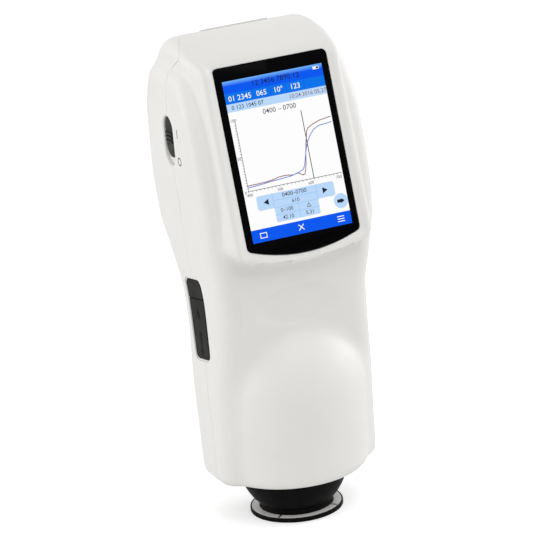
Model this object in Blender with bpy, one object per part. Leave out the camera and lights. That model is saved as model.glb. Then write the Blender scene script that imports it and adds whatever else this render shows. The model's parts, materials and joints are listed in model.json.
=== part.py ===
"""Handheld reflectance colorimeter standing on its locating plate.

The housing is two hollow shells that part along its sides. Their skin is one
form, blended from a trunk, a raised screen block and the bulge over the
integrating sphere, and each shell is a grid of quads pushed out to that form.
Metres, +Z up. The measuring axis is x = y = 0 while the pieces are made, and
the root empty then centres the whole on its footprint.
"""

import math

import bmesh
import bpy
import numpy as np
from mathutils import Matrix, Vector

# Housing
HOUSING_HEIGHT = 0.1977        # underside of the housing to its top edge
HEAD_MARGIN = 0.0082           # screen block to the side of the head
FRONT_REACH = 0.0400           # measuring axis forward to the brow
REAR_REACH = 0.0440            # measuring axis back to the widest part of the head
WALL = 0.0024
SEAM_GAP = 0.0003              # between the two shells
FIT_GAP = 0.0003               # between pieces that seat on one another
BOTTOM_BLEND = 0.0050
SHOULDER_DROP = 0.0127         # top edge down to the shoulders beside the cap
SHOULDER_BLEND = 0.0090

# Screen block
SCREEN_TILT = math.radians(15.24)
SCREEN_SETBACK = 0.0126        # brow back to the middle of the screen
RIDGE_DROP = 0.0091            # housing's top edge down to the top of the glass, along the screen
BLOCK_MARGIN = 0.0055          # glass to the side of the screen block
BLOCK_FLARE = 0.25
FLARE_DEPTH = 0.0140
RIDGE_BLEND = 0.0022
CAP_SLOPE = math.radians(18.5)
CAP_BACK_SLOPE = math.radians(-27)
CAP_EDGE_Y = 0.0150
CAP_CREST_RAISE = 0.0010
CAP_EDGE_BLEND = 0.0100
CAP_SIDE_BLEND = 0.0060
CAP_REAR_BLEND = 0.0120
BROW_MARGIN = 0.0060           # glass down to the brow's lower edge
BROW_RISE = 0.0045
BROW_UNDERCUT = 0.35
BROW_ROUND = 0.0060
BLOCK_FILLET = 0.0040
BROW_FILLET = 0.0100

# Bulge over the integrating sphere, thumb rest
BULGE_MARGIN = 0.0096          # nose to the outside of the bulge
BULGE_RISE = 0.0395            # underside of the housing up to the middle of the bulge's dome
BULGE_LEAN = 0.0030
BULGE_REAR_SHARE = 0.95        # how far the bulge reaches back, of its reach ahead
BULGE_FILLET = 0.0040
THUMB_WIDTH = 0.0400
THUMB_HEIGHT = 0.0185
THUMB_RISE = 0.0805            # above the underside of the housing
THUMB_DEPTH = 0.0009
THUMB_LIP_SHARE = 0.05         # where the hollow starts, beyond its half-width
THUMB_RUN_SHARE = 0.30         # over which it reaches its depth

# Screen
PANEL_WIDTH = 0.0484
PANEL_HEIGHT = 0.0724
PANEL_THICKNESS = 0.0036
GLASS_SIDE_MARGIN = 0.0016     # panel to the edges of the glass
GLASS_TOP_MARGIN = 0.0041
GLASS_BOTTOM_MARGIN = 0.0009
GLASS_BOW = 0.0049             # how far the lower edge of the glass bows down
GLASS_CORNER = 0.0022
GLASS_THICKNESS = 0.0014
FRAME_DISH = 0.0010            # depth of the dished frame round the glass
FRAME_DISH_WIDTH = 0.0035
GLASS_PROUD = 0.0002
SCREEN_WALL = 0.0018           # shell left behind the glass
BRACKET_THICKNESS = 0.0010
BRACKET_SIDE_MARGIN = 0.0038   # beyond the panel
BRACKET_END_MARGIN = 0.0028
BOARD_SIDE_INSET = 0.0020      # within the bracket
BOARD_END_INSET = 0.0010
BOARD_THICKNESS = 0.0016
BOARD_STANDOFF = 0.0040
SCREW_RADIUS = 0.0011
SCREW_HEAD_RADIUS = 0.0021
SCREW_HEAD_HEIGHT = 0.0013
INNER_SCREW_REACH = 0.0030
BRACKET_HOLE_SIDE_INSET = 0.0018
BRACKET_HOLE_END_INSET = 0.0090
BOARD_HOLE_INSET = 0.0040
GLASS_BOTTOM_STEPS = 10

# Nose, sphere and locating plate
PLATE_RADIUS = 0.0205
PLATE_HEIGHT = 0.0020
FACE_THICKNESS = 0.0006
FACE_MARGIN = 0.0006            # rim left outside the white face
APERTURE_RADIUS = 0.0040
NOSE_NECK_RADIUS = 0.0145
NOSE_ROOM = 0.0004             # between the sphere and the inside of the nose
NOSE_CENTRE_RISE = 0.0050      # above the underside of the housing
NOSE_WALL = 0.0024
NOSE_FLANGE = 0.0010
NOSE_FLANGE_THICKNESS = 0.0018
NOSE_HOLE_GAP = 0.0004
CLIP_WALL = 0.0012
CLIP_HEIGHT = 0.0022
SPHERE_RADIUS = 0.0186
SPHERE_WALL = 0.0026
SPHERE_SINK = 0.0017           # its height below the middle, beyond the housing's own
SPHERE_FLANGE = 0.0015          # thickness of each half's flange
SPHERE_FLANGE_WIDTH = 0.0044
SPIGOT_WALL = 0.0016
VIEW_BOSS_RADIUS = 0.0060
VIEW_BORE_RADIUS = 0.0040
VIEW_BOSS_RISE = 0.0030
LENS_TUBE_LENGTH = 0.0200
LENS_THICKNESS = 0.0030
LENS_SEAT = 0.0010
LENS_SAG_SHARE = 0.45
LAMP_BOARD_RADIUS = 0.0170
LAMP_SIZE = 0.0032
LAMP_RING_RADIUS = 0.0125
LAMP_PORT_RADIUS = 0.0012
LAMP_HEIGHT = 0.0010
LAMP_COUNT = 6

# Spectrometer
BENCH_CLEARANCE = 0.0014       # beside the boards behind the port cover
BENCH_FRONT_Y = -0.0120
BENCH_POST_X = 0.0120
BENCH_DEPTH = 0.0260
BENCH_HEIGHT = 0.0300
BENCH_WALL = 0.0020
GRATING_SIZE = 0.0120
GRATING_THICKNESS = 0.0030
SENSOR_BOARD_THICKNESS = 0.0016

# Power switch, on the left side
SWITCH_WIDTH = 0.0106
SWITCH_HEIGHT = 0.0216
SWITCH_Y = 0.0075
SWITCH_DROP = 0.0440           # below the housing's top edge
SWITCH_RECESS = 0.0017
SWITCH_FLANGE = 0.0025
SWITCH_PLATE_THICKNESS = 0.0013
SLIDER_TRAVEL = 0.0030
SLIDER_SLIT_WIDTH = 0.0030
SLIDER_STEM_HEIGHT = 0.0060
SLIDER_STEM_REACH = 0.0020      # beyond the plate
SLIDER_RIB_COUNT = 3
SLIDER_RIB_PITCH = 0.0018
SLIDER_RIB_HEIGHT = 0.0005
SLIDER_RIB_WIDTH_SHARE = 0.62
SWITCH_BODY_SIZE = 0.0072

# Port cover, on the left side
COVER_WIDTH = 0.0160
COVER_HEIGHT = 0.0348
COVER_TAPER = 0.0012            # top wider than the bottom by twice this
COVER_CORNER = 0.0028
COVER_Y = 0.0046
COVER_RISE = 0.0737            # above the underside of the housing
COVER_LEAN = math.radians(9.4)
COVER_THICKNESS = 0.0018
COVER_HINGE_SHARE = 0.245      # length above the hinge line, of the whole cover
PORT_WELL_DEPTH = 0.0046
PORT_TRAY_WALL = 0.0014
SOCKET_DEPTH = 0.0058
SOCKET_PROUD = 0.0008
JACK_HEIGHT_SHARE = 0.04       # above the middle of the cover, of its height
DATA_HEIGHT_SHARE = -0.30
JACK_BODY_WIDTH = 0.0092
JACK_RADIUS = 0.0029
JACK_PIN_RADIUS = 0.0009
DATA_SOCKET_WIDTH = 0.0078
DATA_SOCKET_HEIGHT = 0.0040
DATA_SHELL_THICKNESS = 0.0005
PORT_BOARD_THICKNESS = 0.0016

# Back of the housing
KEY_WIDTH = 0.0150
KEY_HEIGHT = 0.0200
KEY_DROP = 0.0290              # below the lower edge of the battery cover
KEY_PROUD = 0.0010
KEY_TRAVEL = 0.0010
KEY_TILT = math.radians(21)
KEY_FLANGE = 0.0012
KEY_FLANGE_THICKNESS = 0.0012
KEY_DOME = 0.0005
KEY_BOARD_WIDTH = 0.0300
KEY_BOARD_HEIGHT = 0.0120
KEY_POST_X = 0.0125
KEY_SWITCH_SIZE = 0.0060
KEY_SWITCH_HEIGHT = 0.0035
KEY_BOARD_THICKNESS = 0.0012
DOOR_SIDE_MARGIN = 0.0005      # beyond the battery
DOOR_DROP = 0.0772             # housing's top edge down to the cover's lower edge
DOOR_CORNER = 0.0035
DOOR_PROUD = 0.0005
DOOR_THICKNESS = 0.0020
DOOR_MARGIN = 0.0012            # the tray's hollow stands clear of the door by this
BATTERY_WIDTH = 0.0290
BATTERY_HEIGHT = 0.0480
BATTERY_DEPTH = 0.0160
BATTERY_EDGE = 0.0020
TRAY_FRONT_Y = 0.0165
TRAY_GAP = 0.0008              # between trays and the inside of the curved shells
TRAY_WALL = 0.0014
CONTACT_WIDTH = 0.0060
CONTACT_THICKNESS = 0.0004

# Screw posts of the housing, and the smaller bosses inside it
POST_RADIUS = 0.0034
POST_BORE_RADIUS = 0.0014
POST_WELL_RADIUS = 0.0026
POST_FLOOR = 0.0030
POST_SETBACK = 0.0008           # each post stops short of the seam by this
SCREW_REACH = 0.0060            # into the post it holds
UPPER_POST_INSET = 0.0068      # within the side of the trunk
UPPER_POST_DROP = 0.0672       # below the housing's top edge
LOWER_POST_INSET = 0.0079
LOWER_POST_RISE = 0.0405       # above the underside of the housing
BOSS_RADIUS = 0.0022

# Trunk sections: height, half-width, front, rear, front corner, rear corner, as
# shares of the housing's height, half the head's width, the two reaches and the head's width
TRUNK_SHARES = (
    (0.000, 0.935, -0.340, 0.510, 0.100, 0.16),
    (0.200, 0.935, -0.430, 0.530, 0.110, 0.14),
    (0.330, 0.905, -0.530, 0.560, 0.120, 0.13),
    (0.420, 0.890, -0.600, 0.640, 0.125, 0.13),
    (0.500, 0.925, -0.665, 0.780, 0.105, 0.15),
    (0.590, 0.980, -0.650, 0.920, 0.075, 0.17),
    (0.700, 1.000, -0.580, 0.975, 0.065, 0.18),
    (0.820, 1.000, -0.430, 0.955, 0.065, 0.18),
    (0.900, 0.985, -0.240, 0.850, 0.070, 0.18),
    (1.000, 0.930, 0.050, 0.680, 0.080, 0.18),
)
# Seam up the sides: height, and place as a share of the rear reach
SEAM_SHARES = (
    (0.00, -0.065), (0.12, -0.070), (0.20, -0.045), (0.27, -0.010), (0.38, 0.085), (0.48, 0.130),
    (0.56, 0.085), (0.63, 0.065), (0.72, 0.120), (0.84, 0.150), (0.90, 0.145), (0.930, 0.185),
    (0.942, 0.135), (0.955, 0.040), (0.965, 0.020),
)
# Seam over the cap: half-width share, and place as a share of the rear reach
SEAM_TOP_SHARES = (
    (0.00, 0.420), (0.30, 0.415), (0.60, 0.390), (0.70, 0.300), (0.76, 0.190), (0.82, 0.080),
    (0.86, 0.020), (1.00, 0.020),
)
SEAM_TOP_START_SHARE = 0.962

# Finishes: red, green, blue, roughness, metallic
FINISHES = {
    "white_plastic": (0.86, 0.86, 0.85, 0.45, 0.0),
    "black_plastic": (0.02, 0.02, 0.02, 0.50, 0.0),
    "dark_plastic": (0.06, 0.06, 0.058, 0.55, 0.0),
    "dark_rubber": (0.05, 0.05, 0.047, 0.75, 0.0),
    "black_glass": (0.01, 0.01, 0.012, 0.08, 0.0),
    "clear_glass": (0.85, 0.90, 0.90, 0.05, 0.0),
    "white_diffuser": (0.93, 0.93, 0.92, 0.90, 0.0),
    "green_board": (0.03, 0.18, 0.07, 0.50, 0.0),
    "battery_wrap": (0.04, 0.10, 0.32, 0.45, 0.0),
    "lamp": (0.95, 0.93, 0.80, 0.40, 0.0),
    "steel": (0.60, 0.60, 0.60, 0.30, 1.0),
}

# Where the grid lines of the shells lie
ROW_SHARES = (
    0.040, 0.065, 0.095, 0.135, 0.175, 0.215, 0.255, 0.295, 0.325, 0.345, 0.360, 0.371, 0.387,
    0.408, 0.429, 0.444, 0.455, 0.472, 0.492, 0.511, 0.525, 0.538, 0.556, 0.582, 0.616, 0.656,
    0.697, 0.737, 0.777, 0.817, 0.853, 0.883,
)
INNER_ROW_SHARES = (
    0.040, 0.095, 0.175, 0.255, 0.325, 0.387, 0.444, 0.492, 0.525, 0.556, 0.616, 0.697, 0.777,
    0.815, 0.845, 0.865, 0.883,
)
FACE_SHARES = (0.0, 0.22, 0.42, 0.58, 0.72, 0.80, 0.845, 0.90, 0.955, 1.0)
INNER_FACE_SHARES = (0.0, 0.36, 0.70, 0.87, 0.925, 1.0)
SIDE_SHARES = (0.0, 0.34, 0.68, 1.0)
INNER_SIDE_SHARES = (0.0, 0.5, 1.0)
FAN_SHARES = (0.10, 0.20, 0.29, 0.37, 0.46, 0.58, 0.76)
REAR_FAN_SHARES = (0.2, 0.4, 0.6, 0.8)
INNER_FAN_SHARES = (0.25, 0.5, 0.75)
TOP_TILT_SHARES = (0.15, 0.30, 0.42, 0.50, 0.55, 0.61, 0.72, 0.86)
BOTTOM_TILT_SHARES = (0.80, 0.62, 0.50, 0.38, 0.20)
CORE_WIDTH_SHARE = 0.99        # of the screen block's width
CORE_FRONT_INSET = 0.0075
CORE_REAR_INSET = 0.0130
LEAN_START_SHARE = 0.660
LEAN_SPAN_SHARE = 0.220
BROW_ROW_SHARE = 0.527
BROW_SPAN_SHARE = 0.100
RAY_REACH = 0.0700
HALVINGS = 30
SEAM_PASSES = 8
ARC_STEPS = 4
ROUND_STEPS = 24
SMALL_ROUND_STEPS = 12
DOME_STEPS = 7
EASED_ROW_SHARES = (0.0, 0.12, 0.40)
CAP_STEP_SHARES = (0.25, 0.5, 0.75, 1.0)
WRAP_COLUMNS = 9
EDGE_EASE = 0.0003
SHARP_ANGLE = math.radians(35)
WELD = 0.000001
SLOPE_STEP = 0.0001
ROOT_NAME = "colorimeter"
OVERRUN = 0.0100

# Sizes that follow from those above
NOSE_RADIUS = SPHERE_RADIUS + SPHERE_WALL + NOSE_ROOM + NOSE_WALL
BULGE_RADIUS = NOSE_RADIUS + BULGE_MARGIN
SPHERE_FLANGE_RADIUS = SPHERE_RADIUS + SPHERE_WALL + SPHERE_FLANGE_WIDTH
HOUSING_BOTTOM = SPHERE_RADIUS + SPHERE_WALL - SPHERE_SINK
HOUSING_TOP = HOUSING_BOTTOM + HOUSING_HEIGHT
GLASS_WIDTH = PANEL_WIDTH + 2 * GLASS_SIDE_MARGIN
GLASS_TOP = PANEL_HEIGHT / 2 + GLASS_TOP_MARGIN
GLASS_SIDE_DROP = PANEL_HEIGHT / 2 + GLASS_BOTTOM_MARGIN
GLASS_MIDDLE_DROP = GLASS_SIDE_DROP + GLASS_BOW
BLOCK_WIDTH = GLASS_WIDTH + 2 * BLOCK_MARGIN
BROW_DROP = GLASS_MIDDLE_DROP + BROW_MARGIN
HEAD_WIDTH = BLOCK_WIDTH + 2 * HEAD_MARGIN
SCREEN_CENTRE_Y = SCREEN_SETBACK - FRONT_REACH
SCREEN_CENTRE_Z = HOUSING_TOP - RIDGE_DROP - GLASS_TOP
BRACKET_WIDTH = PANEL_WIDTH + 2 * BRACKET_SIDE_MARGIN
BRACKET_HEIGHT = PANEL_HEIGHT + 2 * BRACKET_END_MARGIN
BRACKET_HOLE_WIDTH = BRACKET_WIDTH - 2 * BRACKET_HOLE_SIDE_INSET
BRACKET_HOLE_HEIGHT = BRACKET_HEIGHT - 2 * BRACKET_HOLE_END_INSET
BOARD_WIDTH = BRACKET_WIDTH - 2 * BOARD_SIDE_INSET
BOARD_HEIGHT = BRACKET_HEIGHT - 2 * BOARD_END_INSET
BOARD_HOLE_WIDTH = BOARD_WIDTH - 2 * BOARD_HOLE_INSET
BOARD_HOLE_HEIGHT = BOARD_HEIGHT - 2 * BOARD_HOLE_INSET
BULGE_CENTRE_Z = HOUSING_BOTTOM + BULGE_RISE
THUMB_Z = HOUSING_BOTTOM + THUMB_RISE
COVER_Z = HOUSING_BOTTOM + COVER_RISE
SWITCH_Z = HOUSING_TOP - SWITCH_DROP
DOOR_WIDTH = BATTERY_WIDTH + 2 * DOOR_SIDE_MARGIN
DOOR_BOTTOM_Z = HOUSING_TOP - DOOR_DROP
KEY_Z = DOOR_BOTTOM_Z - KEY_DROP
UPPER_POST_Z = HOUSING_TOP - UPPER_POST_DROP
LOWER_POST_Z = HOUSING_BOTTOM + LOWER_POST_RISE
NOSE_CENTRE_Z = HOUSING_BOTTOM + NOSE_CENTRE_RISE
SHOULDER_Z = HOUSING_TOP - SHOULDER_DROP
CORE_HALF = BLOCK_WIDTH / 2 * CORE_WIDTH_SHARE
GLASS_FRONT_DEPTH = FRAME_DISH - GLASS_PROUD
GLASS_BACK_DEPTH = GLASS_FRONT_DEPTH + GLASS_THICKNESS
POCKET_DEPTH = GLASS_BACK_DEPTH + FIT_GAP
SCREEN_INSIDE_DEPTH = POCKET_DEPTH + SCREEN_WALL
PANEL_BACK_DEPTH = POCKET_DEPTH + PANEL_THICKNESS
BRACKET_FRONT_DEPTH = PANEL_BACK_DEPTH + FIT_GAP
BRACKET_BACK_DEPTH = BRACKET_FRONT_DEPTH + BRACKET_THICKNESS
BOARD_FRONT_DEPTH = BRACKET_BACK_DEPTH + BOARD_STANDOFF + FIT_GAP
BOARD_BACK_DEPTH = BOARD_FRONT_DEPTH + BOARD_THICKNESS
NOSE_FLANGE_Z = HOUSING_BOTTOM + WALL + FIT_GAP
NOSE_TOP_Z = NOSE_FLANGE_Z + NOSE_FLANGE_THICKNESS
SPHERE_CENTRE_Z = NOSE_TOP_Z + FIT_GAP + SPHERE_FLANGE + FIT_GAP / 2
BOSS_TOP_Z = SPHERE_CENTRE_Z + SPHERE_RADIUS + SPHERE_WALL + VIEW_BOSS_RISE
BENCH_BOTTOM_Z = BOSS_TOP_Z + LENS_TUBE_LENGTH + 2 * FIT_GAP
PORT_DEPTH = (
    PORT_WELL_DEPTH + PORT_TRAY_WALL + 2 * FIT_GAP + SOCKET_DEPTH + PORT_BOARD_THICKNESS
)
KEY_BOARD_DEPTH = (
    WALL + 2 * FIT_GAP + KEY_FLANGE_THICKNESS + KEY_TRAVEL + KEY_SWITCH_HEIGHT + FIT_GAP
)


# Form of the skin
def curve(table, at, column=1):
    """Smooth curve through one column of a table of shares."""
    table = np.array(table)
    keys, values = table[:, 0], table[:, column]
    steps = np.diff(values) / np.diff(keys)
    slopes = np.zeros_like(values)
    slopes[0], slopes[-1] = steps[0], steps[-1]
    product = steps[1:] * steps[:-1]
    total = steps[1:] + steps[:-1]
    slopes[1:-1] = np.where(product > 0, 2 * product / np.where(total == 0, 1, total), 0)
    at = np.clip(at, keys[0], keys[-1])
    index = np.clip(np.searchsorted(keys, at) - 1, 0, len(keys) - 2)
    span = keys[index + 1] - keys[index]
    t = (at - keys[index]) / span
    start = (1 + 2 * t) * (1 - t) ** 2 * values[index]
    start_slope = t * (1 - t) ** 2 * span * slopes[index]
    end = t * t * (3 - 2 * t) * values[index + 1]
    end_slope = t * t * (t - 1) * span * slopes[index + 1]
    return start + start_slope + end + end_slope


def smooth(t):
    t = np.clip(t, 0, 1)
    return t * t * (3 - 2 * t)


def blend_max(a, b, radius):
    """Greater of two forms, rounded where they meet: an outside corner."""
    h = np.clip(0.5 + 0.5 * (a - b) / radius, 0, 1)
    return b + (a - b) * h + radius * h * (1 - h)


def blend_min(a, b, radius):
    """Lesser of two forms, filled where they meet: an inside corner."""
    return -blend_max(-a, -b, radius)


def height_share(z):
    return (z - HOUSING_BOTTOM) / HOUSING_HEIGHT


def trunk_half(z):
    return HEAD_WIDTH / 2 * float(curve(TRUNK_SHARES, height_share(z)))


def front_y(z):
    return FRONT_REACH * curve(TRUNK_SHARES, height_share(z), 2)


def rear_y(z):
    return REAR_REACH * curve(TRUNK_SHARES, height_share(z), 3)


def trunk_form(x, y, z):
    share = height_share(z)
    half = HEAD_WIDTH / 2 * curve(TRUNK_SHARES, share, 1)
    front, rear = front_y(z), rear_y(z)
    middle = (front + rear) / 2
    front_corner = HEAD_WIDTH * curve(TRUNK_SHARES, share, 4)
    rear_corner = HEAD_WIDTH * curve(TRUNK_SHARES, share, 5)
    corner = np.where(y < middle, front_corner, rear_corner)
    across = np.abs(x) - half + corner
    along = np.abs(y - middle) - (rear - front) / 2 + corner
    outside = np.hypot(np.maximum(across, 0), np.maximum(along, 0))
    section = outside + np.minimum(np.maximum(across, along), 0) - corner
    return blend_max(section, z - SHOULDER_Z, SHOULDER_BLEND)


def screen_axes(y, z):
    """Height up the screen from its centre, and depth behind its plane."""
    along, up = y - SCREEN_CENTRE_Y, z - SCREEN_CENTRE_Z
    height = math.sin(SCREEN_TILT) * along + math.cos(SCREEN_TILT) * up
    depth = math.cos(SCREEN_TILT) * along - math.sin(SCREEN_TILT) * up
    return height, depth


def block_form(x, y, z):
    height, depth = screen_axes(y, z)
    inward = np.maximum(depth, 0)
    side = np.abs(x) - BLOCK_WIDTH / 2 - BLOCK_FLARE * np.minimum(inward, FLARE_DEPTH)
    form = blend_max(-depth, side, RIDGE_BLEND)
    brow = BROW_RISE * (2 * x / BLOCK_WIDTH) ** 2 - height - BROW_DROP + BROW_UNDERCUT * inward
    form = blend_max(form, brow, BROW_ROUND)
    rise, back = z - HOUSING_TOP, y - CAP_EDGE_Y
    slope = rise * math.cos(CAP_SLOPE) - back * math.sin(CAP_SLOPE)
    fall = rise * math.cos(CAP_BACK_SLOPE) - back * math.sin(CAP_BACK_SLOPE) - CAP_CREST_RAISE
    cap = blend_max(slope, fall, CAP_EDGE_BLEND)
    form = blend_max(form, cap, RIDGE_BLEND + CAP_SIDE_BLEND * smooth(inward / FLARE_DEPTH / 2))
    return blend_max(form, y - rear_y(z), CAP_REAR_BLEND)


def bulge_form(x, y, z):
    rise = (z - HOUSING_BOTTOM) / (BULGE_CENTRE_Z - HOUSING_BOTTOM)
    along = y + BULGE_LEAN * smooth(rise)
    along = np.where(along > 0, along / BULGE_REAR_SHARE, along)
    above = np.maximum(z - BULGE_CENTRE_Z, 0)
    return np.sqrt(x**2 + along**2 + above**2) - BULGE_RADIUS


def housing_form(points):
    x, y, z = points[..., 0], points[..., 1], points[..., 2]
    under_brow = smooth((SCREEN_CENTRE_Z - BROW_DROP / 2 - z) / (BROW_DROP / 2))
    fillet = BLOCK_FILLET + (BROW_FILLET - BLOCK_FILLET) * under_brow
    form = blend_min(trunk_form(x, y, z), block_form(x, y, z), fillet)
    form = blend_min(form, bulge_form(x, y, z), BULGE_FILLET)
    return blend_max(form, HOUSING_BOTTOM - z, BOTTOM_BLEND)


def skin_form(points):
    """The housing with its thumb rest and the dished frame round the glass."""
    x, y, z = points[..., 0], points[..., 1], points[..., 2]
    around = np.hypot(2 * x / THUMB_WIDTH, 2 * (z - THUMB_Z) / THUMB_HEIGHT)
    thumb = THUMB_DEPTH * smooth((1 + THUMB_LIP_SHARE - around) / THUMB_RUN_SHARE)
    height, depth = screen_axes(y, z)
    bowed = GLASS_MIDDLE_DROP - (GLASS_MIDDLE_DROP - GLASS_SIDE_DROP) * (2 * x / GLASS_WIDTH) ** 2
    edge = np.maximum(np.abs(x) - GLASS_WIDTH / 2, np.maximum(height - GLASS_TOP, -height - bowed))
    dish = FRAME_DISH * smooth(1 - (edge - FIT_GAP) / FRAME_DISH_WIDTH)
    dish = np.where(depth < 2 * FLARE_DEPTH / 3, dish, 0)
    return housing_form(points) + np.where(y < 0, thumb, 0) + dish


def inside_form(points):
    """The hollow of the housing, set deeper behind the screen to leave its seat."""
    height, depth = screen_axes(points[..., 1], points[..., 2])
    return np.maximum(housing_form(points) + WALL, SCREEN_INSIDE_DEPTH - depth)


# Seam between the shells
def seam_y(x, z):
    share = height_share(z)
    side = REAR_REACH * curve(SEAM_SHARES, share)
    top = REAR_REACH * curve(SEAM_TOP_SHARES, np.abs(x) / (HEAD_WIDTH / 2))
    return np.where(share > SEAM_TOP_START_SHARE, top, side)


def seam_offset(x, z, gap):
    """Half the seam's gap, measured square to the seam."""
    slope = (seam_y(x, z + SLOPE_STEP) - seam_y(x, z - SLOPE_STEP)) / (2 * SLOPE_STEP)
    return gap / 2 * np.hypot(1, slope)


# Grid of rays from the housing's core to its skin
def lengths(vectors):
    return np.linalg.norm(vectors, axis=-1)


def reach(form, level, origins, directions):
    """Points where rays from the core meet one level of a form."""
    near = np.zeros(np.broadcast_shapes(origins.shape, directions.shape)[:-1])
    far = np.full(near.shape, RAY_REACH)
    for _ in range(HALVINGS):
        middle = (near + far) / 2
        inside = form(origins + directions * middle[..., None]) < level
        near = np.where(inside, middle, near)
        far = np.where(inside, far, middle)
    return origins + directions * far[..., None]


def core_lean(share):
    """Rise of the grid's rows towards the rear, which grows up to the slope of the cap."""
    return math.tan(CAP_SLOPE) * smooth((share - LEAN_START_SHARE) / LEAN_SPAN_SHARE)


def core_point(x, y, share):
    """A point of the core on the grid row at a share of the housing's height."""
    z = HOUSING_BOTTOM + HOUSING_HEIGHT * share + core_lean(share) * (y - CAP_EDGE_Y)
    return np.stack(np.broadcast_arrays(x, y, z), axis=-1)


def fan(origin, angle, share, upright, turn, form, level):
    """Where rays meet a form: level rays at an angle, turned up or down towards the vertical."""
    rise = np.sin(angle) * core_lean(share)
    flat = np.stack(np.broadcast_arrays(np.cos(angle), np.sin(angle), rise), axis=-1)
    flat = flat / lengths(flat)[..., None]
    pole = np.zeros_like(flat)
    pole[..., 2] = np.where(upright < 0, -1, 1)
    across = lengths(reach(form, level, origin, flat) - origin)
    above = lengths(reach(form, level, origin, pole) - origin)
    tilt = turn * math.pi / 2
    direction = (across * np.cos(tilt))[..., None] * flat + (above * np.sin(tilt))[..., None] * pole
    return reach(form, level, origin, direction / lengths(direction)[..., None])


def core_edge(half, share):
    z = HOUSING_BOTTOM + HOUSING_HEIGHT * share
    return front_y(z) + CORE_FRONT_INSET if half < 0 else rear_y(z) - CORE_REAR_INSET


def seam_place(half, x, share, upright, turn, form, level, gap):
    """Depth at which the grid stops so that its rim lies on its side of the seam."""
    y = seam_y(x, HOUSING_BOTTOM + HOUSING_HEIGHT * share)
    for _ in range(SEAM_PASSES):
        hit = fan(core_point(x, y, share), math.pi, share, upright, turn, form, level)
        y = (y + seam_y(hit[..., 0], hit[..., 2])) / 2
    return y + half * seam_offset(hit[..., 0], hit[..., 2], gap)


class Stations:
    """Where the lines of a grid lie: its rows, face, side and corner fan columns."""

    def __init__(self, rows, faces, sides, fans):
        self.rows = np.array(rows)
        self.sides = np.array(sides)
        self.fans = np.array(fans)
        self.faces = np.concatenate((-np.array(faces[:0:-1]), faces))


OUTER_FRONT = Stations(ROW_SHARES, FACE_SHARES, SIDE_SHARES, FAN_SHARES)
OUTER_REAR = Stations(ROW_SHARES, FACE_SHARES, SIDE_SHARES, REAR_FAN_SHARES)
INNER = Stations(INNER_ROW_SHARES, INNER_FACE_SHARES, INNER_SIDE_SHARES, INNER_FAN_SHARES)


def half_grid(half, form, level, stations, gap):
    """Ring points and the two cap grids of the front (half -1) or rear (+1) of a form."""
    rows = stations.rows
    below, above = len(BOTTOM_TILT_SHARES), len(TOP_TILT_SHARES)
    share = np.concatenate((np.full(below, rows[0]), rows, np.full(above, rows[-1])))
    upright = np.concatenate((np.full(below, -1), np.zeros(len(rows)), np.full(above, 1)))
    turn = np.concatenate((BOTTOM_TILT_SHARES, np.zeros(len(rows)), TOP_TILT_SHARES))
    edge = core_edge(half, share)
    seam = seam_place(half, np.full(len(share), -CORE_HALF), share, upright, turn, form, level, gap)
    bow = BROW_RISE * smooth(1 - np.abs(share - BROW_ROW_SHARE) / BROW_SPAN_SHARE)
    bow = np.where(half < 0, bow, 0)
    sides = seam[:, None] + (edge - seam)[:, None] * stations.sides
    ahead = half * math.pi / 2
    side_count, fan_count, face_count = len(stations.sides), len(stations.fans), len(stations.faces)
    flank = np.full(side_count + fan_count, CORE_HALF)
    x = np.concatenate((-flank, CORE_HALF * stations.faces, flank))
    edges = np.repeat(edge[:, None], face_count + 2 * fan_count, axis=1)
    y = np.concatenate((sides, edges, sides[:, ::-1]), axis=1)
    turned = ahead * (1 - stations.fans)
    angle = np.concatenate((
        np.full(side_count, math.pi),
        math.pi - turned[::-1],
        np.full(face_count, ahead),
        turned,
        np.zeros(side_count),
    ))
    origin = core_point(x[None, :], y, share[:, None])
    origin[..., 2] -= bow[:, None] * (1 - (x / CORE_HALF) ** 2)
    columns = (share[:, None], upright[:, None], turn[:, None])
    ring = fan(origin, np.broadcast_to(angle, y.shape), *columns, form, level)

    def cap(row, pole):
        x = CORE_HALF * stations.faces
        row, pole, full = (np.full(face_count, float(value)) for value in (row, pole, 1))
        seam = seam_place(half, x, row, pole, full, form, level, gap)
        edge = core_edge(half, row)
        y = seam[:, None] + (edge - seam)[:, None] * stations.sides
        origin = core_point(x[:, None], y, row[:, None])
        return fan(origin, np.zeros(y.shape), row[:, None], pole[:, None], full[:, None], form, level)

    return ring, cap(rows[0], -1), cap(rows[-1], 1)


def add_half(bm, half, form, level, stations, gap):
    """Adds one half of a form's skin to a mesh and returns its rim, bottom left and round."""
    ring, bottom, top = half_grid(half, form, level, stations, gap)
    sides, fans, faces = len(stations.sides), len(stations.fans), len(stations.faces)
    rows = [[bm.verts.new(point) for point in line] for line in ring]
    caps = [[[bm.verts.new(point) for point in line] for line in grid] for grid in (bottom, top)]

    def cap_edge(grid):
        line = [grid[0][index] for index in range(sides)]
        line += [grid[0][-1]] * fans
        line += [grid[index][-1] for index in range(faces)]
        line += [grid[-1][-1]] * fans
        return line + [grid[-1][index] for index in reversed(range(sides))]

    def add_face(*corners):
        corners = list(dict.fromkeys(corners))
        if len(corners) > 2:
            bm.faces.new(corners)

    lines = [cap_edge(caps[0])] + rows + [cap_edge(caps[1])]
    for low, high in zip(lines, lines[1:]):
        for index in range(len(low) - 1):
            add_face(low[index], low[index + 1], high[index + 1], high[index])
    for grid in caps:
        for left, right in zip(grid, grid[1:]):
            for index in range(sides - 1):
                add_face(left[index], left[index + 1], right[index + 1], right[index])
    rim = [line[0] for line in lines] + [line[0] for line in caps[1][1:-1]]
    rim += [line[-1] for line in reversed(lines)] + [line[0] for line in reversed(caps[0][1:-1])]
    return rim


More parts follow.
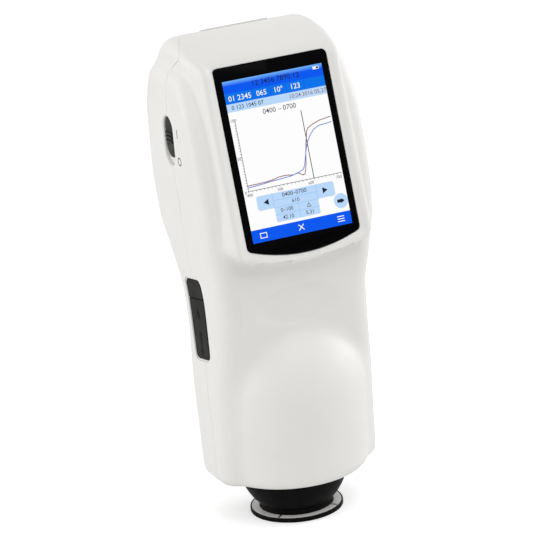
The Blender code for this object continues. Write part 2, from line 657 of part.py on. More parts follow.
def zip_rims(bm, first, second):
    """Closes the strip between two rims that start at the same place."""
    first, second = first + first[:1], second + second[:1]
    i = j = 0
    while i < len(first) - 1 or j < len(second) - 1:
        step_first = step_second = math.inf
        if i < len(first) - 1:
            step_first = (first[i + 1].co - second[j].co).length
        if j < len(second) - 1:
            step_second = (second[j + 1].co - first[i].co).length
        if step_first <= step_second:
            bm.faces.new((first[i], first[i + 1], second[j]))
            i += 1
        else:
            bm.faces.new((first[i], second[j + 1], second[j]))
            j += 1


def shell_mesh(half, stations):
    bm = bmesh.new()
    outer = add_half(bm, half, skin_form, 0.0, stations, SEAM_GAP)
    inner = add_half(bm, half, inside_form, 0.0, INNER, SEAM_GAP)
    zip_rims(bm, outer, inner)
    return bm


# Placing frames
def placed(origin, across, up):
    """A frame at a point: X across, Y up, Z out of the surface."""
    across = Vector(across).normalized()
    out = across.cross(Vector(up)).normalized()
    frame = Matrix((across, out.cross(across), out)).transposed().to_4x4()
    frame.translation = Vector(origin)
    return frame


def skin_reach(x, z, toward, level=0.0):
    """Depth Y at which a line along Y from the middle of the housing meets the skin."""
    hit = reach(skin_form, level, np.array((x, 0.0, z)), np.array((0.0, toward, 0.0)))
    return float(hit[1])


UPRIGHT = Matrix.Identity(4)
SCREEN_FRAME = placed(
    (0.0, SCREEN_CENTRE_Y, SCREEN_CENTRE_Z),
    (1.0, 0.0, 0.0),
    (0.0, math.sin(SCREEN_TILT), math.cos(SCREEN_TILT)),
)
SWITCH_FRAME = placed((-HEAD_WIDTH / 2, SWITCH_Y, SWITCH_Z), (0.0, -1.0, 0.0), (0.0, 0.0, 1.0))
COVER_FRAME = placed(
    (-trunk_half(COVER_Z), COVER_Y, COVER_Z),
    (0.0, -math.cos(COVER_LEAN), math.sin(COVER_LEAN)),
    (0.0, math.sin(COVER_LEAN), math.cos(COVER_LEAN)),
)
KEY_FRAME = placed(
    (0.0, skin_reach(0.0, KEY_Z, 1.0), KEY_Z),
    (-1.0, 0.0, 0.0),
    (0.0, math.sin(KEY_TILT), math.cos(KEY_TILT)),
)


# Outlines, all anticlockwise
def rounded(corners, radii, steps=ARC_STEPS):
    """A closed outline with its corners rounded by the radii given."""
    corners = [Vector(corner) for corner in corners]
    outline = []
    after = corners[1:] + corners[:1]
    for last, corner, following, radius in zip(corners[-1:] + corners, corners, after, radii):
        back, ahead = (last - corner).normalized(), (following - corner).normalized()
        opening = back.angle(ahead)
        if radius == 0:
            outline.append(corner)
            continue
        centre = corner + (back + ahead).normalized() * radius / math.sin(opening / 2)
        spoke = corner + back * radius / math.tan(opening / 2) - centre
        for step in range(steps + 1):
            turn = Matrix.Rotation((math.pi - opening) * step / steps, 2)
            outline.append(centre + turn @ spoke)
    return np.array(outline)


def rectangle(width, height, corner=0.0, taper=0.0):
    low, high = (width - taper) / 2, (width + taper) / 2
    corners = ((-low, -height / 2), (low, -height / 2), (high, height / 2), (-high, height / 2))
    return rounded(corners, (corner,) * len(corners))


def oval(width, height, steps=ROUND_STEPS):
    angles = np.linspace(0, 2 * math.pi, steps, endpoint=False)
    return np.stack((width / 2 * np.cos(angles), height / 2 * np.sin(angles)), axis=1)


def stadium(width, height, steps=SMALL_ROUND_STEPS):
    half = np.linspace(0, math.pi, steps // 2 + 1)
    angles = np.concatenate((half, half + math.pi))
    ends = np.concatenate((np.full(len(half), 1.0), np.full(len(half), -1.0)))
    across = width / 2 * np.cos(angles)
    along = width / 2 * np.sin(angles) + ends * (height - width) / 2
    return np.stack((across, along), axis=1)


def grown(outline, by):
    """An outline moved outward by a distance."""
    edges = np.roll(outline, -1, axis=0) - outline
    edges = edges / lengths(edges)[:, None]
    normals = np.stack((edges[:, 1], -edges[:, 0]), axis=1)
    before = np.roll(normals, 1, axis=0)
    return outline + by * (normals + before) / (1 + (normals * before).sum(axis=1))[:, None]


def shifted(outline, across, along):
    return outline + np.array((across, along))


def spread(outline, share):
    """An outline drawn in towards its middle; a share of zero gives the middle alone."""
    middle = (outline.max(axis=0) + outline.min(axis=0)) / 2
    if share == 0:
        return middle[None, :]
    return middle + share * (outline - middle)


# Bodies
def join_rings(bm, rings):
    """Faces between rings of equal length, to a point where a ring is a single vertex."""
    for low, high in zip(rings, rings[1:]):
        count = max(len(low), len(high))
        for index in range(count):
            following = (index + 1) % count
            corners = [low[index % len(low)], low[following % len(low)]]
            corners += [high[following % len(high)], high[index % len(high)]]
            bm.faces.new(list(dict.fromkeys(corners)))


def loft(frame, sections):
    """A solid through outlines laid at heights of a frame, closed by flat ends."""
    bm = bmesh.new()
    rings = []
    for outline, height in sections:
        points = [frame @ Vector((across, along, height)) for across, along in outline]
        rings.append([bm.verts.new(point) for point in points])
    join_rings(bm, rings)
    bm.faces.new(rings[0])
    bm.faces.new(rings[-1])
    return bm


def prism(frame, outline, near, far):
    return loft(frame, ((outline, near), (outline, far)))


def skin_solid(frame, sections):
    """A solid whose rings lie on levels of the skin, seen along a frame's outward axis."""
    bm = bmesh.new()
    rings = []
    out = np.array(frame.col[2].xyz)
    for outline, level in sections:
        points = [frame @ Vector((across, along, -CORE_REAR_INSET)) for across, along in outline]
        hits = reach(skin_form, level, np.array(points), out)
        rings.append([bm.verts.new(point) for point in hits])
    join_rings(bm, rings)
    return bm


def skin_plate(frame, outline, outer, inner):
    """A plate that follows the skin between two levels, with an eased outer edge."""
    return skin_solid(frame, (
        (spread(outline, 0), outer),
        (spread(outline, 0.5), outer),
        (grown(outline, -EDGE_EASE), outer),
        (outline, outer - EDGE_EASE),
        (outline, inner),
        (spread(outline, 0.5), inner),
        (spread(outline, 0), inner),
    ))


def turned(profile, steps=ROUND_STEPS, frame=UPRIGHT):
    """A profile of radii and heights turned about a frame's Z axis."""
    bm = bmesh.new()
    line = [bm.verts.new((radius, 0.0, height)) for radius, height in profile]
    edges = [bm.edges.new(pair) for pair in zip(line, line[1:])]
    if profile[0][0] > 0:
        edges.append(bm.edges.new((line[-1], line[0])))
    axis, centre = (0.0, 0.0, 1.0), (0.0, 0.0, 0.0)
    turn = 2 * math.pi
    bmesh.ops.spin(bm, geom=line + edges, cent=centre, axis=axis, angle=turn, steps=steps)
    bmesh.ops.remove_doubles(bm, verts=bm.verts, dist=WELD)
    bm.transform(frame)
    return bm


def arc(radius, centre, start, end, steps=ARC_STEPS):
    """Profile points on a sphere centred on the axis, by angle up from the equator."""
    angles = [start + (end - start) * step / steps for step in range(steps + 1)]
    return [(radius * math.cos(angle), centre + radius * math.sin(angle)) for angle in angles]


def rod(x, z, radius, start, end, steps=SMALL_ROUND_STEPS):
    """A round rod along Y."""
    frame = placed((x, 0.0, z), (-1.0, 0.0, 0.0), (0.0, 0.0, 1.0))
    return prism(frame, oval(2 * radius, 2 * radius, steps), start, end)


def block(low, high):
    bm = bmesh.new()
    low, high = Vector(low), Vector(high)
    size = Matrix.Diagonal(high - low).to_4x4()
    bmesh.ops.create_cube(bm, size=1.0, matrix=Matrix.Translation((low + high) / 2) @ size)
    return bm


# Objects
def make_material(name, finish):
    red, green, blue, roughness, metallic = FINISHES[finish]
    material = bpy.data.materials.new(name + "_" + finish)
    material.use_nodes = True
    shader = material.node_tree.nodes["Principled BSDF"]
    shader.inputs["Base Color"].default_value = (red, green, blue, 1.0)
    shader.inputs["Roughness"].default_value = roughness
    shader.inputs["Metallic"].default_value = metallic
    return material


def make_object(name, bm, origin=(0.0, 0.0, 0.0)):
    bmesh.ops.recalc_face_normals(bm, faces=bm.faces)
    if bm.calc_volume(signed=True) < 0:
        bmesh.ops.reverse_faces(bm, faces=bm.faces)
    mesh = bpy.data.meshes.new(name)
    bm.to_mesh(mesh)
    bm.free()
    mesh.transform(Matrix.Translation(-Vector(origin)))
    mesh.shade_smooth()
    mesh.set_sharp_from_angle(angle=SHARP_ANGLE)
    item = bpy.data.objects.new(name, mesh)
    item.location = origin
    item.parent = bpy.data.objects[ROOT_NAME]
    bpy.context.scene.collection.objects.link(item)
    return item


def make_piece(name, finish, bm, origin=(0.0, 0.0, 0.0)):
    """One piece of the instrument; its origin is on its joint's axis if it moves."""
    item = make_object(name, bm, origin)
    item.data.materials.append(make_material(name, finish))
    return item


def make_copies(name, finish, bm, frames):
    """Like pieces that share one mesh, each placed by a frame of its own."""
    first = make_piece(name + "_1", finish, bm)
    first.matrix_basis = frames[0]
    for index, frame in enumerate(frames[1:]):
        item = bpy.data.objects.new(name + "_" + str(index + 2), first.data)
        item.parent = first.parent
        item.matrix_basis = frame
        bpy.context.scene.collection.objects.link(item)


def combine(piece, operation, parts):
    """Joins parts to a piece or cuts them out of it."""
    group = bpy.data.collections.new(piece.name + "_" + operation.lower())
    bpy.context.scene.collection.children.link(group)
    for index, part in enumerate(parts):
        helper = make_object(group.name + "_" + str(index), part)
        bpy.context.scene.collection.objects.unlink(helper)
        group.objects.link(helper)
        helper.hide_render = True
        helper.display_type = "WIRE"
    change = piece.modifiers.new(operation.title(), "BOOLEAN")
    change.operation = operation
    change.solver = "EXACT"
    change.operand_type = "COLLECTION"
    change.collection = group


def join(piece, *parts):
    combine(piece, "UNION", parts)


def cut(piece, *parts):
    combine(piece, "DIFFERENCE", parts)


def wrap_solid(half_width, start, end, outer, inner, corner=0.0):
    """A solid over the back and top of the housing between two levels of the skin.

    It starts at a height on the back, its lower corners rounded, and ends on the
    cap at a distance behind the seam.
    """
    first = height_share(start + corner)
    eased = [height_share(start + corner * share) for share in EASED_ROW_SHARES if corner > 0]
    rows = np.array(eased + [first] + [share for share in ROW_SHARES if share > first])
    count, tilts, steps = len(rows), len(TOP_TILT_SHARES), len(CAP_STEP_SHARES)
    share = np.concatenate((rows, np.full(tilts + steps, rows[-1])))
    turn = np.concatenate((np.zeros(count), TOP_TILT_SHARES, np.full(steps, 1.0)))
    missing = np.maximum(corner - (share - height_share(start)) * HOUSING_HEIGHT, 0)
    half = half_width - corner + np.sqrt(corner**2 - missing**2) if corner > 0 else half_width
    x = np.broadcast_to(half, share.shape)[:, None] * np.linspace(-1, 1, WRAP_COLUMNS)
    edge = core_edge(1, share)[:, None]
    forward = np.concatenate((np.zeros(count + tilts), CAP_STEP_SHARES))[:, None]
    y = edge + (seam_y(x, HOUSING_TOP) + end - edge) * forward
    origin = core_point(x, y, share[:, None])
    angle = np.full(y.shape, math.pi / 2)
    bm = bmesh.new()
    grids = []
    for level in (outer, inner):
        hits = fan(origin, angle, share[:, None], np.ones_like(y), turn[:, None], skin_form, level)
        grids.append([[bm.verts.new(point) for point in line] for line in hits])
    top, under = grids
    for grid in grids:
        for low, high in zip(grid, grid[1:]):
            for index in range(WRAP_COLUMNS - 1):
                bm.faces.new((low[index], low[index + 1], high[index + 1], high[index]))
    rims = []
    for grid in (top, under):
        right = [line[-1] for line in grid[1:-1]]
        left = [line[0] for line in grid[1:-1]]
        rims.append(grid[0] + right + grid[-1][::-1] + left[::-1])
    join_rings(bm, rims)
    return bm


# Shells
def glass_outline(by=0.0):
    half = GLASS_WIDTH / 2
    corners = [(half, GLASS_TOP), (-half, GLASS_TOP)]
    radii = [GLASS_CORNER, GLASS_CORNER]
    for step in range(GLASS_BOTTOM_STEPS + 1):
        share = 2 * step / GLASS_BOTTOM_STEPS - 1
        bow = (GLASS_MIDDLE_DROP - GLASS_SIDE_DROP) * share**2
        corners.append((half * share, bow - GLASS_MIDDLE_DROP))
        radii.append(GLASS_CORNER if abs(share) == 1 else 0.0)
    return grown(rounded(corners, radii), by)


def cover_outline():
    return rectangle(COVER_WIDTH, COVER_HEIGHT, COVER_CORNER, COVER_TAPER)


def post_places():
    for side in (-1, 1):
        yield side * (trunk_half(UPPER_POST_Z) - UPPER_POST_INSET), UPPER_POST_Z
        yield side * (trunk_half(LOWER_POST_Z) - LOWER_POST_INSET), LOWER_POST_Z


def post_root(x, z, toward):
    """Depth within the wall at the outer side of a post, so that the post stays inside."""
    return skin_reach(x + math.copysign(POST_RADIUS, x), z, toward, -WALL / 2)


def side_openings():
    """Bodies that open both shells: the nose's hole, the switch's slot and the port's opening."""
    hole = oval(2 * (NOSE_RADIUS + FIT_GAP), 2 * (NOSE_RADIUS + FIT_GAP), 2 * ROUND_STEPS)
    slot = stadium(SWITCH_WIDTH, SWITCH_HEIGHT)
    port = grown(cover_outline(), FIT_GAP)
    return (
        prism(UPRIGHT, hole, HOUSING_BOTTOM - OVERRUN, HOUSING_BOTTOM + 2 * WALL),
        prism(SWITCH_FRAME, slot, -2 * WALL, WALL),
        prism(COVER_FRAME, port, -2 * WALL, 2 * WALL),
    )


def around(width, height):
    """The four places of a rectangular pattern about a frame's middle."""
    for side in (-1, 1):
        for end in (-1, 1):
            yield side * width / 2, end * height / 2


def circle(radius, across=0.0, along=0.0, steps=SMALL_ROUND_STEPS):
    return shifted(oval(2 * radius, 2 * radius, steps), across, along)


def make_front_shell():
    shell = make_piece("front_shell", "white_plastic", shell_mesh(-1, OUTER_FRONT))
    posts, pilots = [], []
    for x, z in post_places():
        end = float(seam_y(x, z)) - POST_SETBACK
        posts.append(rod(x, z, POST_RADIUS, post_root(x, z, -1.0), end))
        pilots.append(rod(x, z, POST_BORE_RADIUS, end - SCREW_REACH - FIT_GAP, end + WALL))
    boss_end = -BRACKET_FRONT_DEPTH + FIT_GAP
    boss_root = -SCREEN_INSIDE_DEPTH + SCREEN_WALL / 2
    pilot_end = -BRACKET_FRONT_DEPTH + INNER_SCREW_REACH + FIT_GAP
    for across, along in around(BRACKET_HOLE_WIDTH, BRACKET_HOLE_HEIGHT):
        posts.append(prism(SCREEN_FRAME, circle(BOSS_RADIUS, across, along), boss_root, boss_end))
        bore = circle(POST_BORE_RADIUS, across, along)
        pilots.append(prism(SCREEN_FRAME, bore, pilot_end, boss_end - WALL))
    window = rectangle(PANEL_WIDTH + 2 * FIT_GAP, PANEL_HEIGHT + 2 * FIT_GAP)
    pocket = prism(SCREEN_FRAME, glass_outline(FIT_GAP), -POCKET_DEPTH, WALL)
    through = prism(SCREEN_FRAME, window, -SCREEN_INSIDE_DEPTH - WALL, WALL)
    join(shell, *posts)
    cut(shell, pocket, through, *side_openings(), *pilots)


def make_rear_shell():
    shell = make_piece("rear_shell", "white_plastic", shell_mesh(1, OUTER_REAR))
    posts, bores = [], []
    for x, z in post_places():
        start = float(seam_y(x, z)) + POST_SETBACK
        outside = skin_reach(x, z, 1.0, WALL)
        posts.append(rod(x, z, POST_RADIUS, start, post_root(x, z, 1.0)))
        bores.append(rod(x, z, POST_BORE_RADIUS, start - WALL, start + 2 * POST_FLOOR))
        bores.append(rod(x, z, POST_WELL_RADIUS, start + POST_FLOOR, outside))
    for side in (-1, 1):
        x, z = side * BENCH_POST_X, BENCH_BOTTOM_Z + BENCH_HEIGHT / 2
        start = BENCH_FRONT_Y + BENCH_DEPTH + FIT_GAP
        posts.append(rod(x, z, BOSS_RADIUS, start, skin_reach(x, z, 1.0, -WALL / 2)))
        foot = circle(BOSS_RADIUS, side * KEY_POST_X)
        posts.append(prism(KEY_FRAME, foot, -KEY_BOARD_DEPTH + FIT_GAP, -WALL * 2 / 3))
    key = oval(KEY_WIDTH + 2 * FIT_GAP, KEY_HEIGHT + 2 * FIT_GAP)
    half, start = DOOR_WIDTH / 2 + FIT_GAP, DOOR_BOTTOM_Z - FIT_GAP
    door = wrap_solid(half, start, -WALL, WALL, -2 * WALL, DOOR_CORNER + FIT_GAP)
    join(shell, *posts)
    cut(shell, *side_openings(), *bores, prism(KEY_FRAME, key, -2 * WALL, 2 * WALL), door)


# Screws
def screw(length):
    """A screw along its own Z axis, its head resting on the plane of zero height."""
    return turned((
        (0.0, -length),
        (SCREW_RADIUS, -length),
        (SCREW_RADIUS, 0.0),
        (SCREW_HEAD_RADIUS, 0.0),
        (SCREW_HEAD_RADIUS, SCREW_HEAD_HEIGHT),
        (0.0, SCREW_HEAD_HEIGHT),
    ), SMALL_ROUND_STEPS)


def make_screws():
    frames = []
    for x, z in post_places():
        under = float(seam_y(x, z)) + POST_SETBACK + POST_FLOOR + FIT_GAP
        frames.append(placed((x, under, z), (-1.0, 0.0, 0.0), (0.0, 0.0, 1.0)))
    length = POST_FLOOR + 2 * POST_SETBACK + FIT_GAP + SCREW_REACH
    make_copies("housing_screw", "steel", screw(length), frames)
    inward = Matrix.Rotation(math.pi, 4, "X")
    length = BRACKET_THICKNESS + FIT_GAP + INNER_SCREW_REACH
    for name, width, height, depth in (
        ("bracket_screw", BRACKET_HOLE_WIDTH, BRACKET_HOLE_HEIGHT, BRACKET_BACK_DEPTH),
        ("board_screw", BOARD_HOLE_WIDTH, BOARD_HOLE_HEIGHT, BOARD_BACK_DEPTH),
    ):
        frames = []
        for across, along in around(width, height):
            place = Matrix.Translation((across, along, -depth - FIT_GAP))
            frames.append(SCREEN_FRAME @ place @ inward)
        make_copies(name, "steel", screw(length), frames)


# Screen
def make_screen():
    glass = prism(SCREEN_FRAME, glass_outline(), -GLASS_BACK_DEPTH, -GLASS_FRONT_DEPTH)
    make_piece("screen_glass", "black_glass", glass)
    panel = rectangle(PANEL_WIDTH, PANEL_HEIGHT)
    make_piece("screen_panel", "black_glass", prism(SCREEN_FRAME, panel, -PANEL_BACK_DEPTH, -POCKET_DEPTH))

    outline = rectangle(BRACKET_WIDTH, BRACKET_HEIGHT, GLASS_CORNER)
    plate = prism(SCREEN_FRAME, outline, -BRACKET_BACK_DEPTH, -BRACKET_FRONT_DEPTH)
    bracket = make_piece("screen_bracket", "steel", plate)
    holes, pillars = [], []
    root = -(BRACKET_FRONT_DEPTH + BRACKET_BACK_DEPTH) / 2
    for across, along in around(BRACKET_HOLE_WIDTH, BRACKET_HOLE_HEIGHT):
        bore = circle(POST_BORE_RADIUS, across, along)
        holes.append(prism(SCREEN_FRAME, bore, -2 * BRACKET_BACK_DEPTH, 0.0))
    for across, along in around(BOARD_HOLE_WIDTH, BOARD_HOLE_HEIGHT):
        pillar = circle(BOSS_RADIUS, across, along)
        pillars.append(prism(SCREEN_FRAME, pillar, -BOARD_FRONT_DEPTH + FIT_GAP, root))
        bore = circle(POST_BORE_RADIUS, across, along)
        holes.append(prism(SCREEN_FRAME, bore, -BOARD_BACK_DEPTH, 0.0))
    join(bracket, *pillars)
    cut(bracket, *holes)

    outline = rectangle(BOARD_WIDTH, BOARD_HEIGHT, GLASS_CORNER)
    sheet = prism(SCREEN_FRAME, outline, -BOARD_BACK_DEPTH, -BOARD_FRONT_DEPTH)
    board = make_piece("main_board", "green_board", sheet)
    holes = []
    for across, along in around(BOARD_HOLE_WIDTH, BOARD_HOLE_HEIGHT):
        bore = circle(POST_BORE_RADIUS, across, along)
        holes.append(prism(SCREEN_FRAME, bore, -2 * BOARD_BACK_DEPTH, 0.0))
    cut(board, *holes)


# Nose, integrating sphere and locating plate
def below(radius, across):
    """Angle below a sphere's equator at which it is a given distance from the axis."""
    return -math.acos(across / radius)


def level_at(radius, rise):
    return math.asin(rise / radius)


def make_nose():
    foot = PLATE_HEIGHT + FIT_GAP
    hole = APERTURE_RADIUS + SPIGOT_WALL + NOSE_HOLE_GAP
    flange = NOSE_RADIUS + NOSE_FLANGE
    seat, top = NOSE_FLANGE_Z - NOSE_CENTRE_Z, NOSE_TOP_Z - NOSE_CENTRE_Z
    inside = NOSE_RADIUS - NOSE_WALL
    outer = arc(NOSE_RADIUS, NOSE_CENTRE_Z, below(NOSE_RADIUS, NOSE_NECK_RADIUS),
                level_at(NOSE_RADIUS, seat), DOME_STEPS)
    inner = arc(inside, NOSE_CENTRE_Z, level_at(inside, top), below(inside, hole), ARC_STEPS)
    profile = [(hole, foot), (NOSE_NECK_RADIUS - EDGE_EASE, foot)]
    profile += [(NOSE_NECK_RADIUS, foot + EDGE_EASE)] + outer
    profile += [(flange, NOSE_FLANGE_Z), (flange, NOSE_TOP_Z)] + inner
    make_piece("nose_dome", "black_plastic", turned(profile, 2 * ROUND_STEPS))


def make_sphere():
    outside = SPHERE_RADIUS + SPHERE_WALL
    spigot = APERTURE_RADIUS + SPIGOT_WALL
    low, high = -FIT_GAP / 2 - SPHERE_FLANGE, -FIT_GAP / 2
    outer = arc(outside, SPHERE_CENTRE_Z, below(outside, spigot), level_at(outside, low))
    inner = arc(SPHERE_RADIUS, SPHERE_CENTRE_Z, level_at(SPHERE_RADIUS, high),
                below(SPHERE_RADIUS, APERTURE_RADIUS))
    profile = [(APERTURE_RADIUS, PLATE_HEIGHT + FIT_GAP), (spigot, PLATE_HEIGHT + FIT_GAP)] + outer
    profile += [(SPHERE_FLANGE_RADIUS, SPHERE_CENTRE_Z + low)]
    profile += [(SPHERE_FLANGE_RADIUS, SPHERE_CENTRE_Z + high)] + inner
    make_piece("sphere_lower", "white_diffuser", turned(profile))

    outer = arc(outside, SPHERE_CENTRE_Z, level_at(outside, -low), -below(outside, VIEW_BOSS_RADIUS))
    inner = arc(SPHERE_RADIUS, SPHERE_CENTRE_Z, -below(SPHERE_RADIUS, VIEW_BORE_RADIUS),
                level_at(SPHERE_RADIUS, -high))
    profile = [(SPHERE_FLANGE_RADIUS, SPHERE_CENTRE_Z - high)]
    profile += [(SPHERE_FLANGE_RADIUS, SPHERE_CENTRE_Z - low)] + outer
    profile += [(VIEW_BOSS_RADIUS, BOSS_TOP_Z), (VIEW_BORE_RADIUS, BOSS_TOP_Z)] + inner
    upper = make_piece("sphere_upper", "white_diffuser", turned(profile))

    turns, ports = [], []
    board_z = SPHERE_CENTRE_Z + outside + FIT_GAP
    half = LAMP_SIZE / 2
    for index in range(LAMP_COUNT):
        turns.append(Matrix.Rotation(2 * math.pi * index / LAMP_COUNT, 4, "Z"))
        port = circle(LAMP_PORT_RADIUS, LAMP_RING_RADIUS)
        ports.append(prism(turns[-1], port, SPHERE_CENTRE_Z + SPHERE_RADIUS / 2, board_z))
    cut(upper, *ports)
    lamp = block((LAMP_RING_RADIUS - half, -half, board_z - FIT_GAP - LAMP_HEIGHT),
                 (LAMP_RING_RADIUS + half, half, board_z - FIT_GAP))
    make_copies("lamp", "lamp", lamp, turns)
    hole = VIEW_BOSS_RADIUS + FIT_GAP
    make_piece("lamp_board", "green_board", turned((
        (hole, board_z),
        (LAMP_BOARD_RADIUS, board_z),
        (LAMP_BOARD_RADIUS, board_z + BOARD_THICKNESS),
        (hole, board_z + BOARD_THICKNESS),
    )))


def make_locating_plate():
    clip = NOSE_NECK_RADIUS + FIT_GAP
    rim = PLATE_RADIUS - FACE_MARGIN
    shelf = PLATE_HEIGHT - FACE_THICKNESS - FIT_GAP
    make_piece("locating_plate", "black_plastic", turned((
        (APERTURE_RADIUS, 0.0),
        (PLATE_RADIUS - EDGE_EASE, 0.0),
        (PLATE_RADIUS, EDGE_EASE),
        (PLATE_RADIUS, PLATE_HEIGHT - EDGE_EASE / 2),
        (PLATE_RADIUS - EDGE_EASE / 2, PLATE_HEIGHT),
        (rim, PLATE_HEIGHT),
        (rim, shelf),
        (clip + CLIP_WALL, shelf),
        (clip + CLIP_WALL, PLATE_HEIGHT + CLIP_HEIGHT),
        (clip, PLATE_HEIGHT + CLIP_HEIGHT),
        (clip, PLATE_HEIGHT),
        (APERTURE_RADIUS, PLATE_HEIGHT),
    ), 2 * ROUND_STEPS))
    make_piece("locating_face", "white_plastic", turned((
        (clip + CLIP_WALL + FIT_GAP, PLATE_HEIGHT - FACE_THICKNESS),
        (rim - FIT_GAP, PLATE_HEIGHT - FACE_THICKNESS),
        (rim - FIT_GAP, PLATE_HEIGHT),
        (clip + CLIP_WALL + FIT_GAP, PLATE_HEIGHT),
    ), 2 * ROUND_STEPS))


# Lens tube and spectrometer
def make_spectrometer():
    top = BENCH_BOTTOM_Z - FIT_GAP
    seat = top - LENS_THICKNESS - FIT_GAP
    foot = BOSS_TOP_Z + FIT_GAP
    narrow = VIEW_BORE_RADIUS - LENS_SEAT
    make_piece("lens_tube", "black_plastic", turned((
        (narrow, foot),
        (VIEW_BOSS_RADIUS, foot),
        (VIEW_BOSS_RADIUS, top),
        (VIEW_BORE_RADIUS, top),
        (VIEW_BORE_RADIUS, seat),
        (narrow, seat),
    )))
    radius = VIEW_BORE_RADIUS - FIT_GAP
    middle = seat + FIT_GAP + LENS_THICKNESS / 2
    profile = []
    for side in (-1, 1):
        shares = [step / ARC_STEPS for step in range(ARC_STEPS + 1)]
        for share in shares[::-side]:
            half = LENS_THICKNESS / 2 * (1 - LENS_SAG_SHARE * share**2)
            profile.append((radius * share, middle + side * half))
    make_piece("collecting_lens", "clear_glass", turned(profile, SMALL_ROUND_STEPS))

    back, half = BENCH_FRONT_Y + BENCH_DEPTH, trunk_half(COVER_Z) - PORT_DEPTH - BENCH_CLEARANCE
    roof = BENCH_BOTTOM_Z + BENCH_HEIGHT
    body = block((-half, BENCH_FRONT_Y, BENCH_BOTTOM_Z), (half, back, roof))
    bench = make_piece("spectrometer_body", "black_plastic", body)
    hollow = block((BENCH_WALL - half, BENCH_FRONT_Y - BENCH_WALL, BENCH_BOTTOM_Z + BENCH_WALL),
                   (half - BENCH_WALL, back - BENCH_WALL, roof - BENCH_WALL))
    entry = prism(UPRIGHT, circle(narrow), BENCH_BOTTOM_Z - BENCH_WALL, BENCH_BOTTOM_Z + 2 * BENCH_WALL)
    middle = (BENCH_FRONT_Y + back) / 2
    centre = BENCH_BOTTOM_Z + BENCH_HEIGHT / 2
    window = block((half - 2 * BENCH_WALL, middle - GRATING_SIZE / 2, centre - BENCH_WALL),
                   (half + BENCH_WALL, middle + GRATING_SIZE / 2, centre + BENCH_WALL))
    cut(bench, hollow, entry, window)
    lid_back = BENCH_FRONT_Y - FIT_GAP
    lid = block((-half, lid_back - BENCH_WALL, BENCH_BOTTOM_Z), (half, lid_back, roof))
    make_piece("spectrometer_lid", "black_plastic", lid)
    wall = BENCH_WALL + FIT_GAP - half
    grating = block((wall, middle - GRATING_SIZE / 2, centre - GRATING_SIZE / 2),
                    (wall + GRATING_THICKNESS, middle + GRATING_SIZE / 2, centre + GRATING_SIZE / 2))
    make_piece("grating", "clear_glass", grating)
    side = half + FIT_GAP
    sensor = block((side, BENCH_FRONT_Y + BENCH_WALL / 2, BENCH_BOTTOM_Z + BENCH_WALL),
                   (side + SENSOR_BOARD_THICKNESS, back - BENCH_WALL / 2, roof - BENCH_WALL))
    make_piece("detector_board", "green_board", sensor)


# Power switch
def make_power_switch():
    slit_height = SLIDER_STEM_HEIGHT + SLIDER_TRAVEL + 2 * FIT_GAP
    slit = rectangle(SLIDER_SLIT_WIDTH, slit_height)
    seat = WALL + FIT_GAP
    back = seat + SWITCH_PLATE_THICKNESS
    opening = stadium(SWITCH_WIDTH, SWITCH_HEIGHT)
    plate = make_piece("switch_plate", "white_plastic", loft(SWITCH_FRAME, (
        (grown(opening, -FIT_GAP), -SWITCH_RECESS),
        (grown(opening, -FIT_GAP), -seat),
        (grown(opening, SWITCH_FLANGE), -seat),
        (grown(opening, SWITCH_FLANGE), -back),
    )))
    cut(plate, prism(SWITCH_FRAME, slit, -2 * back, WALL))

    front = back + FIT_GAP
    width, height = SWITCH_BODY_SIZE, slit_height + 2 * BENCH_WALL
    outline = rectangle(width, height)
    body = prism(SWITCH_FRAME, outline, -front - SWITCH_BODY_SIZE, -front)
    switch = make_piece("power_switch", "black_plastic", body)
    depth = back + SLIDER_STEM_REACH
    cut(switch, prism(SWITCH_FRAME, slit, -depth - FIT_GAP, 0.0))

    cap = stadium(SWITCH_WIDTH - 2 * FIT_GAP, SWITCH_HEIGHT - SLIDER_TRAVEL - 2 * FIT_GAP)
    cap = shifted(cap, 0.0, SLIDER_TRAVEL / 2)
    face = -SLIDER_RIB_HEIGHT
    slider = make_piece("power_slider", "dark_plastic", loft(SWITCH_FRAME, (
        (cap, FIT_GAP - SWITCH_RECESS),
        (cap, face - EDGE_EASE),
        (grown(cap, -EDGE_EASE), face),
    )), SWITCH_FRAME.translation)
    rib = rectangle(SWITCH_WIDTH * SLIDER_RIB_WIDTH_SHARE, SLIDER_RIB_PITCH / 2)
    stem = rectangle(SLIDER_SLIT_WIDTH - 2 * FIT_GAP, SLIDER_STEM_HEIGHT)
    stem = shifted(stem, 0.0, SLIDER_TRAVEL / 2)
    parts = [prism(SWITCH_FRAME, stem, -depth, face - EDGE_EASE)]
    for index in range(SLIDER_RIB_COUNT):
        along = (index - (SLIDER_RIB_COUNT - 1) / 2) * SLIDER_RIB_PITCH + SLIDER_TRAVEL / 2
        parts.append(prism(SWITCH_FRAME, shifted(rib, 0.0, along), face - EDGE_EASE, 0.0))
    join(slider, *parts)


